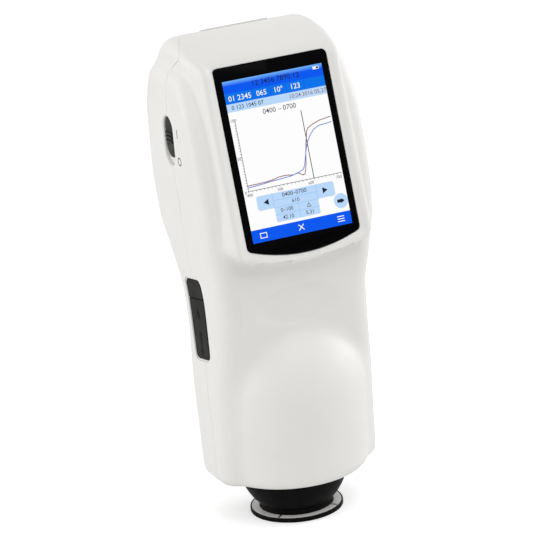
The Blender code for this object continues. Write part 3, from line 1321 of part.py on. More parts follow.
# Ports and their cover
def make_ports():
    hollow = grown(cover_outline(), FIT_GAP)
    outer = grown(hollow, PORT_TRAY_WALL)
    floor, back = -PORT_WELL_DEPTH, -PORT_WELL_DEPTH - PORT_TRAY_WALL
    rim = -WALL - TRAY_GAP
    tray = make_piece("port_tray", "dark_plastic", skin_solid(COVER_FRAME, (
        (spread(hollow, 0), floor),
        (spread(hollow, 0.5), floor),
        (hollow, floor),
        (hollow, rim),
        (outer, rim),
        (outer, back),
        (spread(outer, 0.5), back),
        (spread(outer, 0), back),
    )))
    jack_along = JACK_HEIGHT_SHARE * COVER_HEIGHT
    data_along = DATA_HEIGHT_SHARE * COVER_HEIGHT
    jack_hole = circle(JACK_RADIUS + FIT_GAP, 0.0, jack_along)
    socket = rectangle(DATA_SOCKET_WIDTH, DATA_SOCKET_HEIGHT, DATA_SOCKET_HEIGHT / 3)
    socket = shifted(socket, 0.0, data_along)
    cut(tray, prism(COVER_FRAME, jack_hole, 2 * back, 0.0),
        prism(COVER_FRAME, grown(socket, FIT_GAP), 2 * back, 0.0))

    front, lip = back - FIT_GAP, floor + SOCKET_PROUD
    end = front - SOCKET_DEPTH
    body = shifted(rectangle(JACK_BODY_WIDTH, JACK_BODY_WIDTH), 0.0, jack_along)
    jack = make_piece("dc_jack", "black_plastic", prism(COVER_FRAME, body, end, front - FIT_GAP))
    barrel = circle(JACK_RADIUS, 0.0, jack_along)
    join(jack, prism(COVER_FRAME, barrel, front - PORT_TRAY_WALL, lip))
    centre = COVER_FRAME @ Matrix.Translation((0.0, jack_along, 0.0))
    bore = JACK_RADIUS - DATA_SHELL_THICKNESS
    cut(jack, turned((
        (JACK_PIN_RADIUS, end + PORT_TRAY_WALL),
        (bore, end + PORT_TRAY_WALL),
        (bore, 0.0),
        (JACK_PIN_RADIUS, 0.0),
    ), SMALL_ROUND_STEPS, centre))
    shell = prism(COVER_FRAME, socket, end, lip)
    data = make_piece("data_socket", "steel", shell)
    inside = grown(socket, -DATA_SHELL_THICKNESS)
    cut(data, prism(COVER_FRAME, inside, end + PORT_TRAY_WALL, 0.0))
    tongue = rectangle(DATA_SOCKET_WIDTH / 2, DATA_SHELL_THICKNESS)
    tongue = shifted(tongue, 0.0, data_along)
    join(data, prism(COVER_FRAME, tongue, end + PORT_TRAY_WALL / 2, floor))
    board = shifted(rectangle(COVER_WIDTH, COVER_HEIGHT * 2 / 3), 0.0, (jack_along + data_along) / 2)
    board_front = end - FIT_GAP
    make_piece("port_board", "green_board",
               prism(COVER_FRAME, board, board_front - PORT_BOARD_THICKNESS, board_front))

    half_height = COVER_HEIGHT / 2
    split = half_height - COVER_HINGE_SHARE * COVER_HEIGHT
    low, high = (COVER_WIDTH - COVER_TAPER) / 2, (COVER_WIDTH + COVER_TAPER) / 2
    middle = low + (high - low) * (split + half_height) / COVER_HEIGHT
    edge = split + FIT_GAP / 2
    tab = rounded(((-middle, edge), (middle, edge), (high, half_height), (-high, half_height)),
                  (0.0, 0.0, COVER_CORNER, COVER_CORNER))
    edge = split - FIT_GAP / 2
    flap = rounded(((-low, -half_height), (low, -half_height), (middle, edge), (-middle, edge)),
                   (COVER_CORNER, COVER_CORNER, 0.0, 0.0))
    make_piece("port_cover_tab", "dark_rubber", skin_plate(COVER_FRAME, tab, 0.0, -COVER_THICKNESS))
    hinge = COVER_FRAME @ Vector((0.0, split, 0.0))
    hit = reach(skin_form, 0.0, np.array((0.0, hinge.y, hinge.z)), np.array((-1.0, 0.0, 0.0)))
    hinge.x = float(hit[0])
    make_piece("port_cover_flap", "dark_rubber",
               skin_plate(COVER_FRAME, flap, 0.0, -COVER_THICKNESS), hinge)


# Measuring key on the back
def make_measuring_key():
    outline = oval(KEY_WIDTH, KEY_HEIGHT)
    flange = grown(outline, KEY_FLANGE)
    crown = KEY_PROUD - KEY_DOME
    seat = -WALL - FIT_GAP
    make_piece("measuring_key", "dark_plastic", skin_solid(KEY_FRAME, (
        (spread(outline, 0), KEY_PROUD),
        (spread(outline, 0.5), KEY_PROUD - KEY_DOME / 4),
        (grown(outline, -KEY_DOME), crown),
        (outline, crown - KEY_DOME),
        (outline, seat),
        (flange, seat),
        (flange, seat - KEY_FLANGE_THICKNESS),
        (spread(flange, 0), seat - KEY_FLANGE_THICKNESS),
    )), KEY_FRAME.translation)
    face = -KEY_BOARD_DEPTH + FIT_GAP + KEY_SWITCH_HEIGHT
    body = rectangle(KEY_SWITCH_SIZE, KEY_SWITCH_SIZE)
    make_piece("key_switch", "black_plastic",
               prism(KEY_FRAME, body, -KEY_BOARD_DEPTH + FIT_GAP, face))
    board = rectangle(KEY_BOARD_WIDTH, KEY_BOARD_HEIGHT)
    make_piece("key_board", "green_board",
               prism(KEY_FRAME, board, -KEY_BOARD_DEPTH - KEY_BOARD_THICKNESS, -KEY_BOARD_DEPTH))


# Battery and its cover
def make_battery():
    cover = wrap_solid(DOOR_WIDTH / 2, DOOR_BOTTOM_Z, SEAM_GAP / 2, DOOR_PROUD,
                       DOOR_PROUD - DOOR_THICKNESS, DOOR_CORNER)
    make_piece("battery_cover", "white_plastic", cover, (0.0, REAR_REACH, DOOR_BOTTOM_Z))
    inside = DOOR_WIDTH / 2 + FIT_GAP + DOOR_MARGIN
    outside = inside + TRAY_WALL
    floor = DOOR_BOTTOM_Z - FIT_GAP - DOOR_MARGIN
    front = TRAY_FRONT_Y + TRAY_WALL
    far_y, far_z = REAR_REACH + WALL, HOUSING_TOP
    box = block((-outside, TRAY_FRONT_Y, floor - TRAY_WALL), (outside, far_y, far_z))
    tray = make_piece("battery_tray", "black_plastic", box)
    hollow = block((-inside, front, floor), (inside, far_y + OVERRUN, far_z + OVERRUN))
    level = -WALL - TRAY_GAP
    beyond = wrap_solid(outside + OVERRUN / 2, floor - OVERRUN, -OVERRUN, 2 * OVERRUN, level)
    cut(tray, hollow, beyond)
    low = (-CONTACT_WIDTH / 2, 0.0, 0.0)
    high = (CONTACT_WIDTH / 2, CONTACT_THICKNESS, 2 * CONTACT_WIDTH)
    frames = []
    for side in (-1, 1):
        place = (side * BATTERY_WIDTH / 4, front + FIT_GAP, floor + CONTACT_WIDTH)
        frames.append(Matrix.Translation(place))
    make_copies("battery_contact", "steel", block(low, high), frames)
    near = front + 2 * FIT_GAP + CONTACT_THICKNESS
    low = (-BATTERY_WIDTH / 2, near, floor + FIT_GAP)
    high = (BATTERY_WIDTH / 2, near + BATTERY_DEPTH, floor + FIT_GAP + BATTERY_HEIGHT)
    pack = make_piece("battery_pack", "battery_wrap", block(low, high))
    bevel = pack.modifiers.new("Edges", "BEVEL")
    bevel.width = BATTERY_EDGE
    bevel.segments = 3


def centre_on_footprint():
    """Moves the root so that the pieces stand centred on its origin."""
    depsgraph = bpy.context.evaluated_depsgraph_get()
    low, high = Vector((math.inf,) * 3), Vector((-math.inf,) * 3)
    for item in bpy.data.objects[ROOT_NAME].children:
        if item.hide_render:
            continue
        for corner in item.evaluated_get(depsgraph).bound_box:
            place = item.matrix_basis @ Vector(corner)
            low = Vector(map(min, low, place))
            high = Vector(map(max, high, place))
    middle = (low + high) / 2
    bpy.data.objects[ROOT_NAME].location = (-middle.x, -middle.y, -low.z)


def main():
    for item in list(bpy.data.objects):
        bpy.data.objects.remove(item, do_unlink=True)
    root = bpy.data.objects.new(ROOT_NAME, None)
    bpy.context.scene.collection.objects.link(root)
    make_front_shell()
    make_rear_shell()
    make_screws()
    make_screen()
    make_nose()
    make_sphere()
    make_locating_plate()
    make_spectrometer()
    make_power_switch()
    make_ports()
    make_measuring_key()
    make_battery()
    centre_on_footprint()


main()
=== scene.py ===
"""Looks of the handheld reflectance colorimeter that stands on its locating plate.

The two shells, the screen, the nose with its plate, the switch, the port cover,
the key and the battery cover are made anew, finer than their solids, and the
pieces inside take finishes of their own. Metres, +Z up. Pieces are drawn with
the measuring axis at x = y = 0 and then moved onto the axis of the model.
"""

import json
import math

import bmesh
import bpy
import numpy as np
from bpy.props import FloatProperty, FloatVectorProperty, PointerProperty
from bpy.types import Operator, Panel, PropertyGroup
from mathutils import Matrix, Vector

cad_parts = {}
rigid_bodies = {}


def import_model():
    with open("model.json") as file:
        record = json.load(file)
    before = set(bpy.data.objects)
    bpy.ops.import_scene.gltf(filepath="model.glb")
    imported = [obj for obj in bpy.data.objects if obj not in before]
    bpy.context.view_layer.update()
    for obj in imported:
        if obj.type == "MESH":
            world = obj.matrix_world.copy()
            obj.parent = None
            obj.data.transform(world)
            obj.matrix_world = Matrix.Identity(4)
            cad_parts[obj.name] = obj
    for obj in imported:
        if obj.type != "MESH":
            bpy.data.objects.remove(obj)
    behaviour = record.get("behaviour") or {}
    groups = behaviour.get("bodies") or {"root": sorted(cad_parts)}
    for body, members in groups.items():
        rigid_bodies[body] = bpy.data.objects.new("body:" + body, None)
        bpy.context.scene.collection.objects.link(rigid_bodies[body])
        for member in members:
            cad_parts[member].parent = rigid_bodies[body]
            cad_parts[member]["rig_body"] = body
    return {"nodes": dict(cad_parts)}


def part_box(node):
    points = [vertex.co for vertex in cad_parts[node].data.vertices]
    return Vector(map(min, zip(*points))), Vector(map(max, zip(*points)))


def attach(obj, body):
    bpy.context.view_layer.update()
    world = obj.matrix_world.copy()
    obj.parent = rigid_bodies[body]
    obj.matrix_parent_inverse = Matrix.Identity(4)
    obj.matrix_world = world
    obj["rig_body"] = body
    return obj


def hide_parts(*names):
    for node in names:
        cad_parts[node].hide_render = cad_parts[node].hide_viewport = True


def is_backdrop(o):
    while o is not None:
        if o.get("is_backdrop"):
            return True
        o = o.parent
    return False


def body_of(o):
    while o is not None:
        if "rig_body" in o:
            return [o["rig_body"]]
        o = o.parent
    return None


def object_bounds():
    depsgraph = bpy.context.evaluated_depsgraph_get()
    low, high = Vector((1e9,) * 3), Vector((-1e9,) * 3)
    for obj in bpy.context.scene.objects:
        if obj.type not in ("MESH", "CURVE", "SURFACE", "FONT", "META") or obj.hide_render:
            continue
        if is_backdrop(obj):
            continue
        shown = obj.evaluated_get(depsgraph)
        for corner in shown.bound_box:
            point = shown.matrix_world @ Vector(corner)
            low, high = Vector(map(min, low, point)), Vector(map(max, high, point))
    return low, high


bl_info = {
    "name": "Handheld colorimeter",
    "version": (1, 0, 0),
    "blender": (4, 5, 0),
    "location": "View3D > Sidebar > Colorimeter",
    "description": "Shells, screen, nose, switch, covers and finishes of a handheld colorimeter",
    "category": "Object",
}

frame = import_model()
PLATE_LOW, PLATE_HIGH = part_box("locating_plate")
AXIS_PLACE = Vector(((PLATE_LOW.x + PLATE_HIGH.x) / 2, (PLATE_LOW.y + PLATE_HIGH.y) / 2, 0.0))
HOUSING = body_of(frame["nodes"]["front_shell"])[0]

# Housing
HOUSING_HEIGHT = 0.1977        # underside of the housing to its top edge
HEAD_MARGIN = 0.0082           # screen block to the side of the head
FRONT_REACH = 0.0400           # measuring axis forward to the brow
REAR_REACH = 0.0440            # measuring axis back to the widest part of the head
WALL = 0.0024
SEAM_GAP = 0.0003              # between the two shells
FIT_GAP = 0.0003               # between pieces that seat on one another
BOTTOM_BLEND = 0.0050
SHOULDER_DROP = 0.0127         # top edge down to the shoulders beside the cap
SHOULDER_BLEND = 0.0090

# Screen block
SCREEN_TILT = math.radians(15.24)
SCREEN_SETBACK = 0.0126        # brow back to the middle of the screen
RIDGE_DROP = 0.0091            # housing's top edge down to the top of the glass, along the screen
BLOCK_MARGIN = 0.0055          # glass to the side of the screen block
BLOCK_FLARE = 0.20
FLARE_DEPTH = 0.0140
RIDGE_BLEND = 0.0022
CAP_SLOPE = math.radians(18.5)
CAP_BACK_SLOPE = math.radians(-27)
CAP_EDGE_Y = 0.0150
CAP_CREST_RAISE = 0.0010
CAP_EDGE_BLEND = 0.0100
CAP_SIDE_BLEND = 0.0060
CAP_REAR_BLEND = 0.0120
BROW_MARGIN = 0.0060           # glass down to the brow's lower edge
BROW_RISE = 0.0045
BROW_UNDERCUT = 0.48
BROW_ROUND = 0.0070
BLOCK_FILLET = 0.0018
BROW_FILLET = 0.0060

# Bulge over the integrating sphere, thumb rest
BULGE_MARGIN = 0.0096          # nose to the outside of the bulge
BULGE_RISE = 0.0395            # underside of the housing up to the middle of the bulge's dome
BULGE_LEAN = 0.0030
BULGE_REAR_SHARE = 0.95        # how far the bulge reaches back, of its reach ahead
BULGE_FILLET = 0.0040
THUMB_WIDTH = 0.0400
THUMB_HEIGHT = 0.0185
THUMB_RISE = 0.0805            # above the underside of the housing
THUMB_DEPTH = 0.0013
THUMB_LIP_SHARE = 0.05         # where the hollow starts, beyond its half-width
THUMB_RUN_SHARE = 0.28         # over which it reaches its depth

# Screen
PANEL_WIDTH = 0.0484
PANEL_HEIGHT = 0.0724
GLASS_SIDE_MARGIN = 0.0016     # panel to the edges of the glass
GLASS_TOP_MARGIN = 0.0041
GLASS_BOTTOM_MARGIN = 0.0009
GLASS_BOW = 0.0049             # how far the lower edge of the glass bows down
GLASS_CORNER = 0.0022
GLASS_THICKNESS = 0.0014
FRAME_DISH = 0.0010            # depth of the dished frame round the glass
FRAME_DISH_WIDTH = 0.0035
GLASS_PROUD = 0.0002
SCREEN_WALL = 0.0018           # shell left behind the glass
GLASS_BOTTOM_STEPS = 24

# Nose, sphere and locating plate
PLATE_RADIUS = 0.0205
PLATE_HEIGHT = 0.0020
FACE_THICKNESS = 0.0006
FACE_MARGIN = 0.0006           # rim left outside the white face
APERTURE_RADIUS = 0.0040
NOSE_NECK_RADIUS = 0.0145
NOSE_ROOM = 0.0004             # between the sphere and the inside of the nose
NOSE_CENTRE_RISE = 0.0050      # above the underside of the housing
NOSE_WALL = 0.0024
NOSE_FLANGE = 0.0010
NOSE_FLANGE_THICKNESS = 0.0018
NOSE_HOLE_GAP = 0.0004
BALL_RADIUS = 0.0241           # outside of the nose, a ball that stands on the collar
BALL_RISE = 0.0026             # underside of the housing up to the middle of the ball
CLIP_WALL = 0.0012
CLIP_HEIGHT = 0.0022
SPHERE_RADIUS = 0.0186
SPHERE_WALL = 0.0026
SPHERE_SINK = 0.0017           # the sphere's outside stands below the housing by this
SPIGOT_WALL = 0.0016

# Power switch, on the left side
SWITCH_WIDTH = 0.0106
SWITCH_HEIGHT = 0.0216
SWITCH_Y = 0.0075
SWITCH_DROP = 0.0440           # below the housing's top edge
SWITCH_RECESS = 0.0017
SWITCH_FLANGE = 0.0025
SWITCH_PLATE_THICKNESS = 0.0013
SLIDER_TRAVEL = 0.0030
SLIDER_SLIT_WIDTH = 0.0030
SLIDER_STEM_HEIGHT = 0.0060
SLIDER_STEM_REACH = 0.0020     # beyond the plate
SLIDER_RIB_COUNT = 3
SLIDER_RIB_PITCH = 0.0018
SLIDER_RIB_HEIGHT = 0.0008
SLIDER_RIB_WIDTH_SHARE = 0.62

# Port cover, on the left side
COVER_WIDTH = 0.0160
COVER_HEIGHT = 0.0348
COVER_TAPER = 0.0012           # top wider than the bottom by twice this
COVER_CORNER = 0.0028
COVER_Y = 0.0046
COVER_RISE = 0.0737            # above the underside of the housing
COVER_LEAN = math.radians(9.4)
COVER_THICKNESS = 0.0018
COVER_HINGE_SHARE = 0.245      # length above the hinge line, of the whole cover
JACK_HEIGHT_SHARE = 0.04       # above the middle of the cover, of its height
DATA_HEIGHT_SHARE = -0.30

# Back of the housing
KEY_WIDTH = 0.0150
KEY_HEIGHT = 0.0200
KEY_DROP = 0.0290              # below the lower edge of the battery cover
KEY_PROUD = 0.0010
KEY_TILT = math.radians(21)
KEY_FLANGE = 0.0012
KEY_FLANGE_THICKNESS = 0.0012
KEY_DOME = 0.0005
DOOR_SIDE_MARGIN = 0.0005      # beyond the battery
DOOR_DROP = 0.0772             # housing's top edge down to the cover's lower edge
DOOR_CORNER = 0.0035
DOOR_PROUD = 0.0005
DOOR_THICKNESS = 0.0020
BATTERY_WIDTH = 0.0290

# Screw posts of the housing
POST_RADIUS = 0.0034
POST_BORE_RADIUS = 0.0014
POST_WELL_RADIUS = 0.0026
POST_FLOOR = 0.0030
POST_SETBACK = 0.0008          # each post stops short of the seam by this
UPPER_POST_INSET = 0.0068      # within the side of the trunk
UPPER_POST_DROP = 0.0672       # below the housing's top edge
LOWER_POST_INSET = 0.0079
LOWER_POST_RISE = 0.0405       # above the underside of the housing

# Trunk sections: height, half-width, front, rear, front corner, rear corner, as
# shares of the housing's height, half the head's width, the two reaches and the head's width
TRUNK_SHARES = (
    (0.000, 0.935, -0.340, 0.510, 0.100, 0.16),
    (0.200, 0.935, -0.430, 0.530, 0.110, 0.14),
    (0.330, 0.905, -0.530, 0.560, 0.120, 0.13),
    (0.420, 0.890, -0.600, 0.640, 0.125, 0.13),
    (0.500, 0.925, -0.665, 0.780, 0.105, 0.15),
    (0.590, 0.980, -0.650, 0.920, 0.066, 0.17),
    (0.700, 1.000, -0.580, 0.975, 0.060, 0.18),
    (0.820, 1.000, -0.430, 0.955, 0.060, 0.18),
    (0.900, 0.985, -0.240, 0.850, 0.070, 0.18),
    (1.000, 0.930, 0.050, 0.680, 0.080, 0.18),
)
# Seam up the sides: height, and place as a share of the rear reach
SEAM_SHARES = (
    (0.00, -0.065), (0.12, -0.070), (0.20, -0.045), (0.27, -0.010), (0.38, 0.085), (0.48, 0.130),
    (0.56, 0.085), (0.63, 0.065), (0.72, 0.120), (0.84, 0.150), (0.90, 0.145), (0.930, 0.185),
    (0.942, 0.135), (0.955, 0.040), (0.965, 0.020),
)
# Seam over the cap: half-width share, and place as a share of the rear reach
SEAM_TOP_SHARES = (
    (0.00, 0.420), (0.30, 0.415), (0.60, 0.390), (0.70, 0.300), (0.76, 0.190), (0.82, 0.080),
    (0.86, 0.020), (1.00, 0.020),
)
SEAM_TOP_START_SHARE = 0.962

# Where the grid lines of the shells lie
ROW_SHARES = (
    0.040, 0.065, 0.095, 0.135, 0.175, 0.215, 0.255, 0.295, 0.325, 0.345, 0.360, 0.371, 0.387,
    0.408, 0.429, 0.444, 0.455, 0.472, 0.492, 0.511, 0.525, 0.538, 0.556, 0.582, 0.616, 0.656,
    0.697, 0.737, 0.777, 0.817, 0.853, 0.883,
)
INNER_ROW_SHARES = (
    0.040, 0.095, 0.175, 0.255, 0.325, 0.387, 0.444, 0.492, 0.525, 0.556, 0.616, 0.697, 0.777,
    0.815, 0.845, 0.865, 0.883,
)
FACE_SHARES = (0.0, 0.22, 0.42, 0.58, 0.72, 0.80, 0.845, 0.90, 0.955, 1.0)
INNER_FACE_SHARES = (0.0, 0.36, 0.70, 0.87, 0.925, 1.0)
SIDE_SHARES = (0.0, 0.34, 0.68, 1.0)
INNER_SIDE_SHARES = (0.0, 0.5, 1.0)
FAN_SHARES = (0.10, 0.20, 0.29, 0.37, 0.46, 0.58, 0.76)
REAR_FAN_SHARES = (0.2, 0.4, 0.6, 0.8)
INNER_FAN_SHARES = (0.25, 0.5, 0.75)
TOP_TILT_SHARES = (0.15, 0.30, 0.42, 0.50, 0.55, 0.61, 0.72, 0.86)
BOTTOM_TILT_SHARES = (0.80, 0.62, 0.50, 0.38, 0.20)
CORE_WIDTH_SHARE = 0.99        # of the screen block's width
CORE_FRONT_INSET = 0.0075
CORE_REAR_INSET = 0.0130
LEAN_START_SHARE = 0.660
LEAN_SPAN_SHARE = 0.220
BROW_ROW_SHARE = 0.527
BROW_SPAN_SHARE = 0.100
RAY_REACH = 0.0700
HALVINGS = 30
SEAM_PASSES = 8
ARC_STEPS = 8
ROUND_STEPS = 24
SLOT_STEPS = 2 * ROUND_STEPS
OVAL_STEPS = 4 * ROUND_STEPS
TURNED_STEPS = 5 * ROUND_STEPS
BALL_STEPS = 35
NOSE_INSIDE_STEPS = 32
DISC_STEPS = 32
EASED_ROW_SHARES = (0.0, 0.03, 0.08, 0.16, 0.27, 0.42, 0.60, 0.80)
CAP_STEP_SHARES = (0.1, 0.2, 0.3, 0.4, 0.5, 0.6, 0.7, 0.8, 0.9, 1.0)
WRAP_COLUMNS = 33
EDGE_EASE = 0.0003
SHARP_ANGLE = math.radians(35)
WELD = 0.000001
SLOPE_STEP = 0.0001
OVERRUN = 0.0100
GRID_PARTS = 3                 # steps of the fine grid in each of the solids' own

# Sizes that follow from those above
NOSE_RADIUS = SPHERE_RADIUS + SPHERE_WALL + NOSE_ROOM + NOSE_WALL
BULGE_RADIUS = NOSE_RADIUS + BULGE_MARGIN
HOUSING_BOTTOM = SPHERE_RADIUS + SPHERE_WALL - SPHERE_SINK
HOUSING_TOP = HOUSING_BOTTOM + HOUSING_HEIGHT
GLASS_WIDTH = PANEL_WIDTH + 2 * GLASS_SIDE_MARGIN
GLASS_TOP = PANEL_HEIGHT / 2 + GLASS_TOP_MARGIN
GLASS_SIDE_DROP = PANEL_HEIGHT / 2 + GLASS_BOTTOM_MARGIN
GLASS_MIDDLE_DROP = GLASS_SIDE_DROP + GLASS_BOW
BLOCK_WIDTH = GLASS_WIDTH + 2 * BLOCK_MARGIN
BROW_DROP = GLASS_MIDDLE_DROP + BROW_MARGIN
HEAD_WIDTH = BLOCK_WIDTH + 2 * HEAD_MARGIN
SCREEN_CENTRE_Y = SCREEN_SETBACK - FRONT_REACH
SCREEN_CENTRE_Z = HOUSING_TOP - RIDGE_DROP - GLASS_TOP
BULGE_CENTRE_Z = HOUSING_BOTTOM + BULGE_RISE
THUMB_Z = HOUSING_BOTTOM + THUMB_RISE
COVER_Z = HOUSING_BOTTOM + COVER_RISE
SWITCH_Z = HOUSING_TOP - SWITCH_DROP
DOOR_WIDTH = BATTERY_WIDTH + 2 * DOOR_SIDE_MARGIN
DOOR_BOTTOM_Z = HOUSING_TOP - DOOR_DROP
KEY_Z = DOOR_BOTTOM_Z - KEY_DROP
UPPER_POST_Z = HOUSING_TOP - UPPER_POST_DROP
LOWER_POST_Z = HOUSING_BOTTOM + LOWER_POST_RISE
NOSE_CENTRE_Z = HOUSING_BOTTOM + NOSE_CENTRE_RISE
SHOULDER_Z = HOUSING_TOP - SHOULDER_DROP
CORE_HALF = BLOCK_WIDTH / 2 * CORE_WIDTH_SHARE
GLASS_FRONT_DEPTH = FRAME_DISH - GLASS_PROUD
GLASS_BACK_DEPTH = GLASS_FRONT_DEPTH + GLASS_THICKNESS
POCKET_DEPTH = GLASS_BACK_DEPTH + FIT_GAP
SCREEN_INSIDE_DEPTH = POCKET_DEPTH + SCREEN_WALL
NOSE_FLANGE_Z = HOUSING_BOTTOM + WALL + FIT_GAP
NOSE_TOP_Z = NOSE_FLANGE_Z + NOSE_FLANGE_THICKNESS

# Small gaps, eased edges, marks and signs
OUTLINE_STEP = 0.0010
FACE_GAP = 0.00012
BEZEL_GAP = 0.00010
CAP_EASE = 0.0006
RIB_EASE = 0.00022
COVER_EASE = 0.00035
EASE_SHARE = 0.293
EASE_ANGLE = math.radians(50)
INK_HEIGHT = 0.00003
MARK_STROKE = 0.00055
MARK_ACROSS = 0.0104
ON_MARK_RISE = 0.0051
OFF_MARK_RISE = -0.0070
SIGN_SIZE = 0.0034
SIGN_STROKE = 0.0007
PLATE_LINES = 4
COVER_RING_SHARES = (0.0, 0.15, 0.30, 0.45, 0.60, 0.75, 0.88)
KEY_RING_SHARES = (0.0, 0.12, 0.24, 0.36, 0.48, 0.60, 0.72, 0.84)
CORNER_STEPS = 6

# Grain of the finishes
FINE_GRAIN = 0.00022
GRAIN_DEPTH = 0.000012
RUBBER_GRAIN = 0.00035
SINK_PATCH = 0.012
SINK_DEPTH = 0.00005
TONE_PATCH = 0.020
GLOSS_PATCH = 0.006
CREASE_PATCH = 0.004
MOULD_EDGE = 0.00025
METAL_EDGE = 0.00015
GLASS_EDGE = 0.0002
NOISE_LOW = 0.35
NOISE_HIGH = 0.65
WEAR_LOW = 0.53
WEAR_HIGH = 0.62
TRACK_PITCH = 0.0040
VIA_PITCH = 0.0030
DOT_PITCH = 0.00016
TRACK_OFFSET = 0.37
TRACK_SQUASH = 1.6
TRACK_GAP_SHARE = 0.045
TRACK_PALENESS = 1.8
VIA_EDGE = (0.10, 0.14)
TONE_DRIFT = 0.985             # darkest drift of a moulding's tone, as a share of its colour
WORN_SHARE = 1.02
WORN_LIFT = 0.004
ROUGH_BELOW = 0.04             # spread of a moulding's roughness about its own
ROUGH_ABOVE = 0.05
GLOSSY_ROUGH_ABOVE = 0.03
METAL_ROUGH_BELOW = 0.05
METAL_ROUGH_ABOVE = 0.08
METAL_SHADE = 0.92             # darkest of the drawn lines, as a share of the metal's colour
LENS_SHADE = 0.97
WRAP_PALENESS = 1.15
SINK_STRENGTH = 0.5            # of the reliefs, where they aren't full
HANDLED_STRENGTH = 0.1
DRAWN_STRENGTH = 0.4
DRAWN_STRETCH = (1.0, 1.0, 0.06)
CREASE_STRETCH = (1.0, 1.0, 0.25)
DUST_PALENESS = 1.25
HAZE_PALENESS = 1.1
PICTURE_BASE = (0.004, 0.004, 0.005)
DOT_SHADE = (0.96, 0.96, 0.96)
PLASTIC_SHINE = 0.4            # specular levels
RUBBER_SHINE = 0.12
NOSE_SHINE = 0.05
SLIDER_SHINE = 0.13
SPHERE_SHINE = 0.1
GLASS_SHINE = 0.02
PANEL_SHINE = 0.3
LAMP_SHINE = 0.5
FLOOR_SHINE = 0.1
FLOOR_SHADE = 0.99
RUBBER_ROUGHNESS = (0.62, 0.80)
BOARD_ROUGHNESS = (0.34, 0.48)
LENS_ROUGHNESS = (0.02, 0.06)
WRAP_ROUGHNESS = (0.22, 0.36)
PICTURE_ROUGHNESS = (0.05, 0.09)
FLOOR_ROUGHNESS = (0.7, 0.8)
TINT_LAYER = "Tint"
SLOTS = {
    "battery_contact": "steel",
    "battery_cover": "housing_white",
    "battery_pack": "battery_wrap",
    "battery_tray": "black_plastic",
    "board_screw": "steel",
    "bracket_screw": "steel",
    "collecting_lens": "lens_glass",
    "data_socket": "steel",
    "dc_jack": "black_plastic",
    "detector_board": "circuit_board",
    "grating": "lens_glass",
    "housing_screw": "steel",
    "key_board": "circuit_board",
    "key_switch": "black_plastic",
    "lamp_board": "circuit_board",
    "lamp": "lamp",
    "lens_tube": "black_plastic",
    "main_board": "circuit_board",
    "port_board": "circuit_board",
    "port_tray": "dark_grey_plastic",
    "power_switch": "black_plastic",
    "screen_bracket": "steel",
    "screen_panel": "screen_glass",
    "spectrometer": "black_plastic",
    "sphere": "diffuser_white",
}

# Lit picture: its layers count up from the glass, and its places are shares of its
# width and height from its top left
PICTURE_WIDTH = 0.0456
PICTURE_HEIGHT = 0.0686
PICTURE_LIFT = 0.00003
PICTURE_LAYER = 0.00001
FIGURE_SIZE_SHARE = 1.30
FIGURE_LEAST_AREA = 1e-10
FIGURE_WEIGHT_SHARE = 0.002
HAIR_LINE = 0.0045
AXIS_LINE = 0.0055
CURVE_LINE = 0.0085
ICON_LINE = 0.0080
AXIS_TICKS = 24
AXIS_FIGURE = 0.020
CELL_FIGURE = 0.026
BAR_FIGURE = 0.028
TITLE_FIGURE = 0.034
HEAD_FIGURE = 0.036
CHART_LEFT, CHART_RIGHT, CHART_TOP, CHART_FOOT = 0.052, 0.985, 0.255, 0.682
TICK_LEFT, TICK_FOOT = 0.040, 0.690
MARKER_ACROSS, MARKER_TOP = 0.710, 0.262
BUTTON_CORNER = 0.022
CELLS_CORNER = 0.012
BAR_PARTING_PLACES = (0.275, 0.450, 0.610, 0.790)
SCREEN_WHITE = (1.0, 1.0, 1.0)
SKY = (0.44, 0.70, 0.98)
DEEP_BLUE = (0.0, 0.345, 0.945)
BAR_BLUE = (0.0, 0.450, 0.925)
PALE_BLUE = (0.735, 0.855, 0.985)
CELL_LINE = (0.60, 0.76, 0.94)
LIGHT_BLUE = (0.38, 0.52, 0.88)
RED_BROWN = (0.58, 0.36, 0.36)
INK = (0.10, 0.12, 0.18)
GREY_INK = (0.36, 0.36, 0.38)
RED_CURVE_SHARES = (
    (0.055, 0.648), (0.150, 0.647), (0.240, 0.645), (0.310, 0.641), (0.370, 0.632), (0.440, 0.630),
    (0.509, 0.637), (0.569, 0.632), (0.611, 0.650), (0.630, 0.646), (0.645, 0.620), (0.662, 0.580),
    (0.678, 0.520), (0.700, 0.455), (0.714, 0.425), (0.728, 0.390), (0.745, 0.374), (0.796, 0.357),
    (0.872, 0.341), (0.930, 0.336), (0.985, 0.331),
)
BLUE_CURVE_SHARES = (
    (0.055, 0.660), (0.160, 0.656), (0.309, 0.648), (0.420, 0.644), (0.493, 0.641), (0.569, 0.629),
    (0.622, 0.617), (0.645, 0.590), (0.663, 0.550), (0.688, 0.500), (0.709, 0.464), (0.746, 0.425),
    (0.800, 0.388), (0.862, 0.371), (0.919, 0.369), (0.985, 0.364),
)

# Stage
FLOOR_SIZE = 6.0
FLOOR_PATCH = 0.05
KEY_LAMP_PLACE = (-1.20, 0.50, 0.50)
KEY_LAMP_SIZE = 0.9
FILL_LAMP_PLACE = (1.20, 0.10, 0.55)
TOP_LAMP_PLACE = (0.0, -0.90, 1.30)
TOP_LAMP_SIZE = 1.0
FILL_LAMP_SIZE = 0.9
LAMP_AIM_HEIGHT = 0.11
CAMERA_PLACE = (-0.52426, -1.29357, 0.54977)
CAMERA_TURN = (math.radians(72.4154), math.radians(5.1968), math.radians(-23.6243))
CAMERA_LENS = 226.36
CAMERA_SENSOR = 36.0


